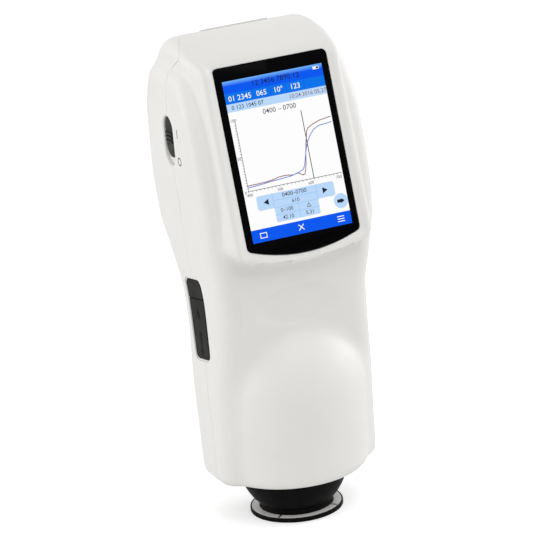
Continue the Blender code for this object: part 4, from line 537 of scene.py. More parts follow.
# Form of the skin
def curve(table, at, column=1):
    """Smooth curve through one column of a table of shares."""
    table = np.array(table)
    keys, values = table[:, 0], table[:, column]
    steps = np.diff(values) / np.diff(keys)
    slopes = np.zeros_like(values)
    slopes[0], slopes[-1] = steps[0], steps[-1]
    product = steps[1:] * steps[:-1]
    total = steps[1:] + steps[:-1]
    slopes[1:-1] = np.where(product > 0, 2 * product / np.where(total == 0, 1, total), 0)
    at = np.clip(at, keys[0], keys[-1])
    index = np.clip(np.searchsorted(keys, at) - 1, 0, len(keys) - 2)
    span = keys[index + 1] - keys[index]
    t = (at - keys[index]) / span
    start = (1 + 2 * t) * (1 - t) ** 2 * values[index]
    start_slope = t * (1 - t) ** 2 * span * slopes[index]
    end = t * t * (3 - 2 * t) * values[index + 1]
    end_slope = t * t * (t - 1) * span * slopes[index + 1]
    return start + start_slope + end + end_slope


def smooth(t):
    t = np.clip(t, 0, 1)
    return t * t * (3 - 2 * t)


def blend_max(a, b, radius):
    """Greater of two forms, rounded where they meet: an outside corner."""
    h = np.clip(0.5 + 0.5 * (a - b) / radius, 0, 1)
    return b + (a - b) * h + radius * h * (1 - h)


def blend_min(a, b, radius):
    """Lesser of two forms, filled where they meet: an inside corner."""
    return -blend_max(-a, -b, radius)


def height_share(z):
    return (z - HOUSING_BOTTOM) / HOUSING_HEIGHT


def trunk_half(z):
    return HEAD_WIDTH / 2 * float(curve(TRUNK_SHARES, height_share(z)))


def front_y(z):
    return FRONT_REACH * curve(TRUNK_SHARES, height_share(z), 2)


def rear_y(z):
    return REAR_REACH * curve(TRUNK_SHARES, height_share(z), 3)


def trunk_form(x, y, z):
    """The grip: rounded sections that change with height, closed at the shoulders."""
    share = height_share(z)
    half = HEAD_WIDTH / 2 * curve(TRUNK_SHARES, share, 1)
    front, rear = front_y(z), rear_y(z)
    middle = (front + rear) / 2
    front_corner = HEAD_WIDTH * curve(TRUNK_SHARES, share, 4)
    rear_corner = HEAD_WIDTH * curve(TRUNK_SHARES, share, 5)
    corner = np.where(y < middle, front_corner, rear_corner)
    across = np.abs(x) - half + corner
    along = np.abs(y - middle) - (rear - front) / 2 + corner
    outside = np.hypot(np.maximum(across, 0), np.maximum(along, 0))
    section = outside + np.minimum(np.maximum(across, along), 0) - corner
    return blend_max(section, z - SHOULDER_Z, SHOULDER_BLEND)


def screen_axes(y, z):
    """Height up the screen from its centre, and depth behind its plane."""
    along, up = y - SCREEN_CENTRE_Y, z - SCREEN_CENTRE_Z
    height = math.sin(SCREEN_TILT) * along + math.cos(SCREEN_TILT) * up
    depth = math.cos(SCREEN_TILT) * along - math.sin(SCREEN_TILT) * up
    return height, depth


def block_form(x, y, z):
    """The screen's block, with the brow under it and the cap over it."""
    height, depth = screen_axes(y, z)
    inward = np.maximum(depth, 0)
    side = np.abs(x) - BLOCK_WIDTH / 2 - BLOCK_FLARE * np.minimum(inward, FLARE_DEPTH)
    form = blend_max(-depth, side, RIDGE_BLEND)
    brow = BROW_RISE * (2 * x / BLOCK_WIDTH) ** 2 - height - BROW_DROP + BROW_UNDERCUT * inward
    form = blend_max(form, brow, BROW_ROUND)
    rise, back = z - HOUSING_TOP, y - CAP_EDGE_Y
    slope = rise * math.cos(CAP_SLOPE) - back * math.sin(CAP_SLOPE)
    fall = rise * math.cos(CAP_BACK_SLOPE) - back * math.sin(CAP_BACK_SLOPE) - CAP_CREST_RAISE
    cap = blend_max(slope, fall, CAP_EDGE_BLEND)
    form = blend_max(form, cap, RIDGE_BLEND + CAP_SIDE_BLEND * smooth(inward / FLARE_DEPTH / 2))
    return blend_max(form, y - rear_y(z), CAP_REAR_BLEND)


def bulge_form(x, y, z):
    """The round bulge over the sphere, which goes straight down from its dome."""
    rise = (z - HOUSING_BOTTOM) / (BULGE_CENTRE_Z - HOUSING_BOTTOM)
    along = y + BULGE_LEAN * smooth(rise)
    along = np.where(along > 0, along / BULGE_REAR_SHARE, along)
    above = np.maximum(z - BULGE_CENTRE_Z, 0)
    return np.sqrt(x**2 + along**2 + above**2) - BULGE_RADIUS


def housing_form(points):
    """Trunk, block and bulge run into one another; below zero inside, above it outside."""
    x, y, z = points[..., 0], points[..., 1], points[..., 2]
    under_brow = smooth((SCREEN_CENTRE_Z - BROW_DROP / 2 - z) / (BROW_DROP / 2))
    fillet = BLOCK_FILLET + (BROW_FILLET - BLOCK_FILLET) * under_brow
    form = blend_min(trunk_form(x, y, z), block_form(x, y, z), fillet)
    form = blend_min(form, bulge_form(x, y, z), BULGE_FILLET)
    return blend_max(form, HOUSING_BOTTOM - z, BOTTOM_BLEND)


def skin_form(points):
    """The housing with its thumb rest and the dished frame round the glass."""
    x, y, z = points[..., 0], points[..., 1], points[..., 2]
    around = np.hypot(2 * x / THUMB_WIDTH, 2 * (z - THUMB_Z) / THUMB_HEIGHT)
    thumb = THUMB_DEPTH * smooth((1 + THUMB_LIP_SHARE - around) / THUMB_RUN_SHARE)
    height, depth = screen_axes(y, z)
    bowed = GLASS_MIDDLE_DROP - (GLASS_MIDDLE_DROP - GLASS_SIDE_DROP) * (2 * x / GLASS_WIDTH) ** 2
    edge = np.maximum(np.abs(x) - GLASS_WIDTH / 2, np.maximum(height - GLASS_TOP, -height - bowed))
    dish = FRAME_DISH * smooth(1 - (edge - FIT_GAP) / FRAME_DISH_WIDTH)
    dish = np.where(depth < 2 * FLARE_DEPTH / 3, dish, 0)
    return housing_form(points) + np.where(y < 0, thumb, 0) + dish


def inside_form(points):
    """The hollow of the housing, set deeper behind the screen to leave its seat."""
    height, depth = screen_axes(points[..., 1], points[..., 2])
    return np.maximum(housing_form(points) + WALL, SCREEN_INSIDE_DEPTH - depth)


# Seam between the shells
def seam_y(x, z):
    """Place of the seam from front to rear, on the sides and over the cap."""
    share = height_share(z)
    side = REAR_REACH * curve(SEAM_SHARES, share)
    top = REAR_REACH * curve(SEAM_TOP_SHARES, np.abs(x) / (HEAD_WIDTH / 2))
    return np.where(share > SEAM_TOP_START_SHARE, top, side)


def seam_offset(x, z, gap):
    """Half the seam's gap, measured square to the seam."""
    slope = (seam_y(x, z + SLOPE_STEP) - seam_y(x, z - SLOPE_STEP)) / (2 * SLOPE_STEP)
    return gap / 2 * np.hypot(1, slope)


# Grid of rays from the housing's core to its skin
def lengths(vectors):
    return np.linalg.norm(vectors, axis=-1)


def reach(form, level, origins, directions):
    """Points where rays from the core meet one level of a form."""
    near = np.zeros(np.broadcast_shapes(origins.shape, directions.shape)[:-1])
    far = np.full(near.shape, RAY_REACH)
    for _ in range(HALVINGS):
        middle = (near + far) / 2
        inside = form(origins + directions * middle[..., None]) < level
        near = np.where(inside, middle, near)
        far = np.where(inside, far, middle)
    return origins + directions * far[..., None]


def core_lean(share):
    """Rise of the grid's rows towards the rear, which grows up to the slope of the cap."""
    return math.tan(CAP_SLOPE) * smooth((share - LEAN_START_SHARE) / LEAN_SPAN_SHARE)


def core_point(x, y, share):
    """A point of the core on the grid row at a share of the housing's height."""
    z = HOUSING_BOTTOM + HOUSING_HEIGHT * share + core_lean(share) * (y - CAP_EDGE_Y)
    return np.stack(np.broadcast_arrays(x, y, z), axis=-1)


def fan(origin, angle, share, upright, turn, form, level=0.0):
    """Where rays meet a form: level rays at an angle, turned up or down towards the vertical."""
    rise = np.sin(angle) * core_lean(share)
    flat = np.stack(np.broadcast_arrays(np.cos(angle), np.sin(angle), rise), axis=-1)
    flat = flat / lengths(flat)[..., None]
    pole = np.zeros_like(flat)
    pole[..., 2] = np.where(upright < 0, -1, 1)
    across = lengths(reach(form, level, origin, flat) - origin)
    above = lengths(reach(form, level, origin, pole) - origin)
    tilt = turn * math.pi / 2
    direction = (across * np.cos(tilt))[..., None] * flat + (above * np.sin(tilt))[..., None] * pole
    return reach(form, level, origin, direction / lengths(direction)[..., None])


def core_edge(half, share):
    """Front or rear end of the core at a share of the housing's height."""
    z = HOUSING_BOTTOM + HOUSING_HEIGHT * share
    return front_y(z) + CORE_FRONT_INSET if half < 0 else rear_y(z) - CORE_REAR_INSET


def seam_place(half, x, share, upright, turn, form, gap):
    """Depth at which the grid stops so that its rim lies on its side of the seam."""
    y = seam_y(x, HOUSING_BOTTOM + HOUSING_HEIGHT * share)
    for _ in range(SEAM_PASSES):
        hit = fan(core_point(x, y, share), math.pi, share, upright, turn, form)
        y = (y + seam_y(hit[..., 0], hit[..., 2])) / 2
    return y + half * seam_offset(hit[..., 0], hit[..., 2], gap)


# Stations of the grid
def finer(shares):
    """Stations with others set evenly between them."""
    places = np.arange((len(shares) - 1) * GRID_PARTS + 1) / GRID_PARTS
    return np.interp(places, np.arange(len(shares)), shares)


def finer_between(start, shares, end):
    return finer((start,) + tuple(shares) + (end,))[1:-1]


FINE_ROWS = finer(ROW_SHARES)
FINE_TOPS = finer_between(0.0, TOP_TILT_SHARES, 1.0)
FINE_BOTTOMS = finer_between(1.0, BOTTOM_TILT_SHARES, 0.0)


class Stations:
    """Where the lines of a grid lie: its rows, face, side and corner fan columns, and its caps."""

    def __init__(self, rows, faces, sides, fans, bottoms, tops):
        self.rows = np.array(rows)
        self.sides = np.array(sides)
        self.fans = np.array(fans)
        self.faces = np.concatenate((-np.array(faces[:0:-1]), faces))
        self.bottoms = np.array(bottoms)
        self.tops = np.array(tops)


INNER = Stations(
    INNER_ROW_SHARES,
    INNER_FACE_SHARES,
    INNER_SIDE_SHARES,
    INNER_FAN_SHARES,
    BOTTOM_TILT_SHARES,
    TOP_TILT_SHARES,
)


def half_grid(half, form, stations, gap):
    """Ring points and the two cap grids of the front (half -1) or rear (+1) of a form."""
    rows = stations.rows
    below, above = len(stations.bottoms), len(stations.tops)
    share = np.concatenate((np.full(below, rows[0]), rows, np.full(above, rows[-1])))
    upright = np.concatenate((np.full(below, -1), np.zeros(len(rows)), np.full(above, 1)))
    turn = np.concatenate((stations.bottoms, np.zeros(len(rows)), stations.tops))
    edge = core_edge(half, share)
    seam = seam_place(half, np.full(len(share), -CORE_HALF), share, upright, turn, form, gap)
    bow = BROW_RISE * smooth(1 - np.abs(share - BROW_ROW_SHARE) / BROW_SPAN_SHARE)
    bow = np.where(half < 0, bow, 0)
    sides = seam[:, None] + (edge - seam)[:, None] * stations.sides
    ahead = half * math.pi / 2
    side_count, fan_count, face_count = len(stations.sides), len(stations.fans), len(stations.faces)
    flank = np.full(side_count + fan_count, CORE_HALF)
    x = np.concatenate((-flank, CORE_HALF * stations.faces, flank))
    edges = np.repeat(edge[:, None], face_count + 2 * fan_count, axis=1)
    y = np.concatenate((sides, edges, sides[:, ::-1]), axis=1)
    turned = ahead * (1 - stations.fans)
    angle = np.concatenate((
        np.full(side_count, math.pi),
        math.pi - turned[::-1],
        np.full(face_count, ahead),
        turned,
        np.zeros(side_count),
    ))
    origin = core_point(x[None, :], y, share[:, None])
    origin[..., 2] -= bow[:, None] * (1 - (x / CORE_HALF) ** 2)
    columns = (share[:, None], upright[:, None], turn[:, None])
    ring = fan(origin, np.broadcast_to(angle, y.shape), *columns, form)

    def cap(row, pole):
        x = CORE_HALF * stations.faces
        row, pole, full = (np.full(face_count, float(value)) for value in (row, pole, 1))
        seam = seam_place(half, x, row, pole, full, form, gap)
        edge = core_edge(half, row)
        y = seam[:, None] + (edge - seam)[:, None] * stations.sides
        origin = core_point(x[:, None], y, row[:, None])
        columns = (row[:, None], pole[:, None], full[:, None])
        return fan(origin, np.zeros(y.shape), *columns, form)

    return ring, cap(rows[0], -1), cap(rows[-1], 1)


def add_half(bm, half, form, stations, gap):
    """Adds one half of a form's skin to a mesh and returns its rim, bottom left and round."""
    ring, bottom, top = half_grid(half, form, stations, gap)
    sides, fans, faces = len(stations.sides), len(stations.fans), len(stations.faces)
    rows = [[bm.verts.new(point) for point in line] for line in ring]
    caps = [[[bm.verts.new(point) for point in line] for line in grid] for grid in (bottom, top)]

    def cap_edge(grid):
        line = [grid[0][index] for index in range(sides)]
        line += [grid[0][-1]] * fans
        line += [grid[index][-1] for index in range(faces)]
        line += [grid[-1][-1]] * fans
        return line + [grid[-1][index] for index in reversed(range(sides))]

    def add_face(*corners):
        corners = list(dict.fromkeys(corners))
        if len(corners) > 2:
            bm.faces.new(corners)

    lines = [cap_edge(caps[0])] + rows + [cap_edge(caps[1])]
    for low, high in zip(lines, lines[1:]):
        for index in range(len(low) - 1):
            add_face(low[index], low[index + 1], high[index + 1], high[index])
    for grid in caps:
        for left, right in zip(grid, grid[1:]):
            for index in range(sides - 1):
                add_face(left[index], left[index + 1], right[index + 1], right[index])
    rim = [line[0] for line in lines] + [line[0] for line in caps[1][1:-1]]
    rim += [line[-1] for line in reversed(lines)] + [line[0] for line in reversed(caps[0][1:-1])]
    return rim


def zip_rims(bm, first, second):
    """Closes the strip between two rims that start at the same place."""
    first, second = first + first[:1], second + second[:1]
    i = j = 0
    while i < len(first) - 1 or j < len(second) - 1:
        step_first = step_second = math.inf
        if i < len(first) - 1:
            step_first = (first[i + 1].co - second[j].co).length
        if j < len(second) - 1:
            step_second = (second[j + 1].co - first[i].co).length
        if step_first <= step_second:
            bm.faces.new((first[i], first[i + 1], second[j]))
            i += 1
        else:
            bm.faces.new((first[i], second[j + 1], second[j]))
            j += 1


def shell_mesh(half, fans, gap):
    """The front (half -1) or rear (+1) shell, with its outer and inner skin joined at the seam."""
    stations = Stations(
        FINE_ROWS,
        finer(FACE_SHARES),
        finer(SIDE_SHARES),
        finer_between(0.0, fans, 1.0),
        FINE_BOTTOMS,
        FINE_TOPS,
    )
    bm = bmesh.new()
    outer = add_half(bm, half, skin_form, stations, gap)
    inner = add_half(bm, half, inside_form, INNER, gap)
    zip_rims(bm, outer, inner)
    return bm


# Planes that pieces are drawn on
def placed(origin, across, up):
    """A plane's axes at a point: X across, Y up, Z out of the surface."""
    across = Vector(across).normalized()
    out = across.cross(Vector(up)).normalized()
    plane = Matrix((across, out.cross(across), out)).transposed().to_4x4()
    plane.translation = Vector(origin)
    return plane


def skin_reach(x, z, level=0.0):
    """Depth Y at which a line from the middle of the housing to the rear meets the skin."""
    hit = reach(skin_form, level, np.array((x, 0.0, z)), np.array((0.0, 1.0, 0.0)))
    return float(hit[1])


UPRIGHT_PLANE = Matrix.Identity(4)
SCREEN_PLANE = placed(
    (0.0, SCREEN_CENTRE_Y, SCREEN_CENTRE_Z),
    (1.0, 0.0, 0.0),
    (0.0, math.sin(SCREEN_TILT), math.cos(SCREEN_TILT)),
)
SWITCH_PLANE = placed((-HEAD_WIDTH / 2, SWITCH_Y, SWITCH_Z), (0.0, -1.0, 0.0), (0.0, 0.0, 1.0))
COVER_PLANE = placed(
    (-trunk_half(COVER_Z), COVER_Y, COVER_Z),
    (0.0, -math.cos(COVER_LEAN), math.sin(COVER_LEAN)),
    (0.0, math.sin(COVER_LEAN), math.cos(COVER_LEAN)),
)
KEY_PLANE = placed(
    (0.0, skin_reach(0.0, KEY_Z), KEY_Z),
    (-1.0, 0.0, 0.0),
    (0.0, math.sin(KEY_TILT), math.cos(KEY_TILT)),
)


# Outlines, all anticlockwise
def rounded(corners, radii):
    """A closed outline with its corners rounded by the radii given."""
    corners = [Vector(corner) for corner in corners]
    outline = []
    after = corners[1:] + corners[:1]
    for last, corner, following, radius in zip(corners[-1:] + corners, corners, after, radii):
        back, ahead = (last - corner).normalized(), (following - corner).normalized()
        opening = back.angle(ahead)
        if radius == 0:
            outline.append(corner)
            continue
        centre = corner + (back + ahead).normalized() * radius / math.sin(opening / 2)
        spoke = corner + back * radius / math.tan(opening / 2) - centre
        for step in range(ARC_STEPS + 1):
            turn = Matrix.Rotation((math.pi - opening) * step / ARC_STEPS, 2)
            outline.append(centre + turn @ spoke)
    return np.array(outline)


def rectangle(width, height, corner=0.0, taper=0.0):
    low, high = (width - taper) / 2, (width + taper) / 2
    corners = ((-low, -height / 2), (low, -height / 2), (high, height / 2), (-high, height / 2))
    return rounded(corners, (corner,) * len(corners))


def oval(width, height, steps=ROUND_STEPS):
    """An ellipse, or a circle where both sizes are equal."""
    angles = np.linspace(0, 2 * math.pi, steps, endpoint=False)
    return np.stack((width / 2 * np.cos(angles), height / 2 * np.sin(angles)), axis=1)


def stadium(width, height):
    """An upright slot with round ends."""
    half = np.linspace(0, math.pi, SLOT_STEPS // 2 + 1)
    angles = np.concatenate((half, half + math.pi))
    ends = np.concatenate((np.full(len(half), 1.0), np.full(len(half), -1.0)))
    across = width / 2 * np.cos(angles)
    along = width / 2 * np.sin(angles) + ends * (height - width) / 2
    return np.stack((across, along), axis=1)


def grown(outline, by):
    """An outline moved outward by a distance."""
    edges = np.roll(outline, -1, axis=0) - outline
    edges = edges / lengths(edges)[:, None]
    normals = np.stack((edges[:, 1], -edges[:, 0]), axis=1)
    before = np.roll(normals, 1, axis=0)
    return outline + by * (normals + before) / (1 + (normals * before).sum(axis=1))[:, None]


def shifted(outline, across, along):
    return outline + np.array((across, along))


def spread(outline, share):
    """An outline drawn in towards its middle; a share of zero gives the middle alone."""
    middle = (outline.max(axis=0) + outline.min(axis=0)) / 2
    if share == 0:
        return middle[None, :]
    return middle + share * (outline - middle)


# Bodies
def join_rings(bm, rings):
    """Faces between rings of equal length, to a point where a ring is a single vertex."""
    for low, high in zip(rings, rings[1:]):
        count = max(len(low), len(high))
        for index in range(count):
            following = (index + 1) % count
            corners = [low[index % len(low)], low[following % len(low)]]
            corners += [high[following % len(high)], high[index % len(high)]]
            bm.faces.new(list(dict.fromkeys(corners)))


def loft(plane, sections):
    """A solid through outlines laid at heights over a plane, closed by flat ends."""
    bm = bmesh.new()
    rings = []
    for outline, height in sections:
        points = [plane @ Vector((across, along, height)) for across, along in outline]
        rings.append([bm.verts.new(point) for point in points])
    join_rings(bm, rings)
    bm.faces.new(rings[0])
    bm.faces.new(rings[-1])
    return bm


def prism(plane, outline, near, far):
    """A straight solid on an outline, between two heights over a plane."""
    return loft(plane, ((outline, near), (outline, far)))


def skin_rings(bm, plane, sections):
    """Outlines laid on levels of the skin, seen along a plane's outward axis."""
    out = np.array(plane.col[2].xyz)
    for outline, level in sections:
        points = [plane @ Vector((across, along, -CORE_REAR_INSET)) for across, along in outline]
        hits = reach(skin_form, level, np.array(points), out)
        yield [bm.verts.new(point) for point in hits]


def skin_solid(plane, sections):
    """A solid through outlines on levels of the skin."""
    bm = bmesh.new()
    join_rings(bm, list(skin_rings(bm, plane, sections)))
    return bm


def skin_band(plane, outer, inner, height):
    """A flat band on the skin between two outlines of equal length."""
    bm = bmesh.new()
    sections = ((outer, -height), (outer, height), (inner, height), (inner, -height))
    rings = list(skin_rings(bm, plane, sections))
    join_rings(bm, rings + rings[:1])
    return bm


def skin_plate(plane, outline, top, bottom):
    """A plate on the skin within an outline, between two levels."""
    return skin_solid(plane, (
        (spread(outline, 0), top),
        (spread(outline, 0.5), top),
        (outline, top),
        (outline, bottom),
        (spread(outline, 0.5), bottom),
        (spread(outline, 0), bottom),
    ))


def turned(profile):
    """A profile of radii and heights turned about the upright axis."""
    bm = bmesh.new()
    line = [bm.verts.new((radius, 0.0, height)) for radius, height in profile]
    edges = [bm.edges.new(pair) for pair in zip(line, line[1:])]
    if profile[0][0] > 0:
        edges.append(bm.edges.new((line[-1], line[0])))
    axis, centre = (0.0, 0.0, 1.0), (0.0, 0.0, 0.0)
    turn = 2 * math.pi
    bmesh.ops.spin(bm, geom=line + edges, cent=centre, axis=axis, angle=turn, steps=TURNED_STEPS)
    bmesh.ops.remove_doubles(bm, verts=bm.verts, dist=WELD)
    return bm


def arc(radius, centre, start, end, steps):
    """Profile points on a sphere centred on the axis, by angle up from the equator."""
    angles = [start + (end - start) * step / steps for step in range(steps + 1)]
    return [(radius * math.cos(angle), centre + radius * math.sin(angle)) for angle in angles]


def rod(x, z, radius, start, end):
    """A round rod along Y."""
    plane = placed((x, 0.0, z), (-1.0, 0.0, 0.0), (0.0, 0.0, 1.0))
    return prism(plane, oval(2 * radius, 2 * radius), start, end)


def wrap_solid(half_width, start, end, outer, inner, corner):
    """A solid over the back and top of the housing between two levels of the skin.

    It starts at a height on the back, its lower corners rounded, and ends on the
    cap at a distance behind the seam.
    """
    first = height_share(start + corner)
    eased = [height_share(start + corner * share) for share in EASED_ROW_SHARES]
    rows = np.array(eased + [first] + [share for share in FINE_ROWS if share > first])
    count, tilts, steps = len(rows), len(FINE_TOPS), len(CAP_STEP_SHARES)
    share = np.concatenate((rows, np.full(tilts + steps, rows[-1])))
    turn = np.concatenate((np.zeros(count), FINE_TOPS, np.full(steps, 1.0)))
    missing = np.maximum(corner - (share - height_share(start)) * HOUSING_HEIGHT, 0)
    half = half_width - corner + np.sqrt(corner**2 - missing**2)
    x = half[:, None] * np.linspace(-1, 1, WRAP_COLUMNS)
    edge = core_edge(1, share)[:, None]
    forward = np.concatenate((np.zeros(count + tilts), CAP_STEP_SHARES))[:, None]
    y = edge + (seam_y(x, HOUSING_TOP) + end - edge) * forward
    origin = core_point(x, y, share[:, None])
    angle = np.full(y.shape, math.pi / 2)
    bm = bmesh.new()
    grids = []
    for level in (outer, inner):
        hits = fan(origin, angle, share[:, None], np.ones_like(y), turn[:, None], skin_form, level)
        grids.append([[bm.verts.new(point) for point in line] for line in hits])
    top, under = grids
    for grid in grids:
        for low, high in zip(grid, grid[1:]):
            for index in range(WRAP_COLUMNS - 1):
                bm.faces.new((low[index], low[index + 1], high[index + 1], high[index]))
    rims = []
    for grid in (top, under):
        right = [line[-1] for line in grid[1:-1]]
        left = [line[0] for line in grid[1:-1]]
        rims.append(grid[0] + right + grid[-1][::-1] + left[::-1])
    join_rings(bm, rims)
    return bm


# Outlines with finer sides
def divided(outline, step=OUTLINE_STEP):
    """An outline with points added along its long sides."""
    points = []
    for start, end in zip(outline, np.roll(outline, -1, axis=0)):
        count = max(1, math.ceil(float(lengths(end - start)) / step))
        for index in range(count):
            points.append(start + (end - start) * index / count)
    return np.array(points)


# Pieces
def face_outward(bm):
    bmesh.ops.recalc_face_normals(bm, faces=bm.faces)
    if bm.calc_volume(signed=True) < 0:
        bmesh.ops.reverse_faces(bm, faces=bm.faces)


def add_piece(name, bm, material, replaced, body=HOUSING):
    """Moves a drawn piece onto the model's axis, gives it its finish and makes it ride."""
    face_outward(bm)
    bm.transform(Matrix.Translation(AXIS_PLACE))
    mesh = bpy.data.meshes.new(name)
    bm.to_mesh(mesh)
    bm.free()
    mesh.materials.append(material)
    mesh.shade_smooth()
    mesh.set_sharp_from_angle(angle=SHARP_ANGLE)
    piece = bpy.data.objects.new(name, mesh)
    bpy.context.scene.collection.objects.link(piece)
    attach(piece, body)
    if replaced:
        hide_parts(*replaced)
    return piece


def solid_object(name, bm):
    """A drawn body as an object, for the work that modifiers do."""
    face_outward(bm)
    mesh = bpy.data.meshes.new(name)
    bm.to_mesh(mesh)
    bm.free()
    item = bpy.data.objects.new(name, mesh)
    bpy.context.scene.collection.objects.link(item)
    return item


def worked(bm, steps):
    """A body after parts are joined to it or cut out of it, as a new mesh."""
    body = solid_object("blank", bm)
    helpers, groups = [], []
    for operation, parts in steps:
        group = bpy.data.collections.new(operation.lower())
        groups.append(group)
        for part in parts:
            helper = solid_object("tool", part)
            bpy.context.scene.collection.objects.unlink(helper)
            group.objects.link(helper)
            helpers.append(helper)
        change = body.modifiers.new(operation.title(), "BOOLEAN")
        change.operation = operation
        change.solver = "EXACT"
        change.operand_type = "COLLECTION"
        change.collection = group
    view = bpy.context.evaluated_depsgraph_get()
    mesh = bpy.data.meshes.new_from_object(body.evaluated_get(view))
    result = bmesh.new()
    result.from_mesh(mesh)
    bpy.data.meshes.remove(mesh)
    for item in helpers + [body]:
        bpy.data.objects.remove(item, do_unlink=True)
    for group in groups:
        bpy.data.collections.remove(group)
    return result


def ease_edges(piece, width, segments):
    """Rounds the sharp edges of a piece."""
    change = piece.modifiers.new("Eased edges", "BEVEL")
    change.width = width
    change.segments = segments
    change.limit_method = "ANGLE"
    change.angle_limit = EASE_ANGLE
    change.harden_normals = True


# Finishes
class Finish:
    """A material whose colour, roughness and relief come from its nodes."""

    def __init__(self, name):
        self.material = bpy.data.materials.new(name)
        self.material.use_nodes = True
        self.tree = self.material.node_tree
        self.shader = self.tree.nodes["Principled BSDF"]
        self.place = self.add("ShaderNodeTexCoord").outputs["Object"]
        self.normal = None

    def add(self, kind, **settings):
        node = self.tree.nodes.new(kind)
        for key, value in settings.items():
            setattr(node, key, value)
        return node

    def link(self, start, end):
        self.tree.links.new(start, end)

    def set(self, **values):
        """Sets the shader's own sockets, named with spaces as underscores."""
        for key, value in values.items():
            self.shader.inputs[key.replace("_", " ")].default_value = value

    def noise(self, size, detail=2.0, stretch=None):
        """Noise whose patches are about a given size across."""
        node = self.add("ShaderNodeTexNoise")
        node.inputs["Scale"].default_value = 1.0 / size
        node.inputs["Detail"].default_value = detail
        start = self.place
        if stretch:
            mapping = self.add("ShaderNodeMapping")
            mapping.inputs["Scale"].default_value = stretch
            self.link(start, mapping.inputs["Vector"])
            start = mapping.outputs["Vector"]
        self.link(start, node.inputs["Vector"])
        return node.outputs["Fac"]

    def spread(self, factor, low, high, near=NOISE_LOW, far=NOISE_HIGH):
        """A factor mapped from its own span to the span between two values."""
        node = self.add("ShaderNodeMapRange")
        for key, value in zip(("From Min", "From Max", "To Min", "To Max"), (near, far, low, high)):
            node.inputs[key].default_value = value
        self.link(factor, node.inputs["Value"])
        return node.outputs["Result"]

    def blend(self, factor, first, second):
        """A colour between two, each a colour or an output."""
        node = self.add("ShaderNodeMix", data_type="RGBA")
        self.link(factor, node.inputs["Factor"])
        for socket, colour in zip((node.inputs[6], node.inputs[7]), (first, second)):
            if isinstance(colour, bpy.types.NodeSocket):
                self.link(colour, socket)
            else:
                socket.default_value = (*colour, 1.0)
        return node.outputs[2]

    def round_edges(self, radius):
        """Softens the light on the sharp edges of a moulding."""
        node = self.add("ShaderNodeBevel", samples=4)
        node.inputs["Radius"].default_value = radius
        self.normal = node.outputs["Normal"]

    def relief(self, height, depth, strength=1.0):
        """A bump of a given depth on top of the relief there is."""
        node = self.add("ShaderNodeBump")
        node.inputs["Strength"].default_value = strength
        node.inputs["Distance"].default_value = depth
        self.link(height, node.inputs["Height"])
        if self.normal:
            self.link(self.normal, node.inputs["Normal"])
        self.normal = node.outputs["Normal"]

    def worn(self, colour, pale, low=WEAR_LOW, high=WEAR_HIGH):
        """The colour with its outer edges rubbed a little paler."""
        edge = self.add("ShaderNodeNewGeometry").outputs["Pointiness"]
        return self.blend(self.spread(edge, 0.0, 1.0, low, high), colour, pale)

    def finish(self, colour, roughness):
        self.link(colour, self.shader.inputs["Base Color"])
        self.link(roughness, self.shader.inputs["Roughness"])
        if self.normal:
            self.link(self.normal, self.shader.inputs["Normal"])
        return self.material


def shade(colour, share):
    """A colour with each of its channels times a share."""
    return tuple(channel * share for channel in colour)


def moulded(name, colour, rough, depth=GRAIN_DEPTH, specular=PLASTIC_SHINE):
    """Plastic from a spark-eroded mould: an even fine grain, and a slight drift in tone."""
    look = Finish(name)
    look.round_edges(MOULD_EDGE)
    look.relief(look.noise(FINE_GRAIN, 3.0), depth)
    look.relief(look.noise(SINK_PATCH, 1.0), SINK_DEPTH, SINK_STRENGTH)
    drift = look.spread(look.noise(TONE_PATCH, 2.0), 0.0, 1.0)
    tone = look.blend(drift, shade(colour, TONE_DRIFT), colour)
    tone = look.worn(tone, tuple(min(1.0, channel * WORN_SHARE + WORN_LIFT) for channel in colour))
    look.set(Specular_IOR_Level=specular)
    gloss = look.noise(GLOSS_PATCH, 3.0)
    return look.finish(tone, look.spread(gloss, rough - ROUGH_BELOW, rough + ROUGH_ABOVE))


def rubber(name, colour):
    """Matt rubber with a coarser grain and a little dust in it."""
    look = Finish(name)
    look.round_edges(MOULD_EDGE)
    look.relief(look.noise(RUBBER_GRAIN, 4.0), GRAIN_DEPTH)
    dust = look.spread(look.noise(TONE_PATCH, 5.0), 0.0, 1.0)
    tone = look.blend(dust, colour, shade(colour, DUST_PALENESS))
    look.set(Specular_IOR_Level=RUBBER_SHINE)
    return look.finish(tone, look.spread(look.noise(GLOSS_PATCH, 3.0), *RUBBER_ROUGHNESS))


def glossy(name, colour, rough, specular):
    """A polished sheet with the faintest haze of handling on it."""
    look = Finish(name)
    look.round_edges(GLASS_EDGE)
    look.relief(look.noise(TONE_PATCH, 1.0), GRAIN_DEPTH, HANDLED_STRENGTH)
    haze = look.spread(look.noise(GLOSS_PATCH, 4.0), 0.0, 1.0)
    look.set(Specular_IOR_Level=specular)
    tone = look.blend(haze, colour, shade(colour, HAZE_PALENESS))
    gloss = look.noise(GLOSS_PATCH, 4.0)
    return look.finish(tone, look.spread(gloss, rough, rough + GLOSSY_ROUGH_ABOVE))


def metal(name, colour, rough):
    """Plated metal with fine drawn lines along one direction."""
    look = Finish(name)
    look.round_edges(METAL_EDGE)
    lines = look.noise(FINE_GRAIN, 4.0, DRAWN_STRETCH)
    look.relief(lines, GRAIN_DEPTH, DRAWN_STRENGTH)
    look.set(Metallic=1.0)
    tone = look.blend(look.spread(lines, 0.0, 1.0), shade(colour, METAL_SHADE), colour)
    rough = look.spread(lines, rough - METAL_ROUGH_BELOW, rough + METAL_ROUGH_ABOVE)
    return look.finish(tone, rough)


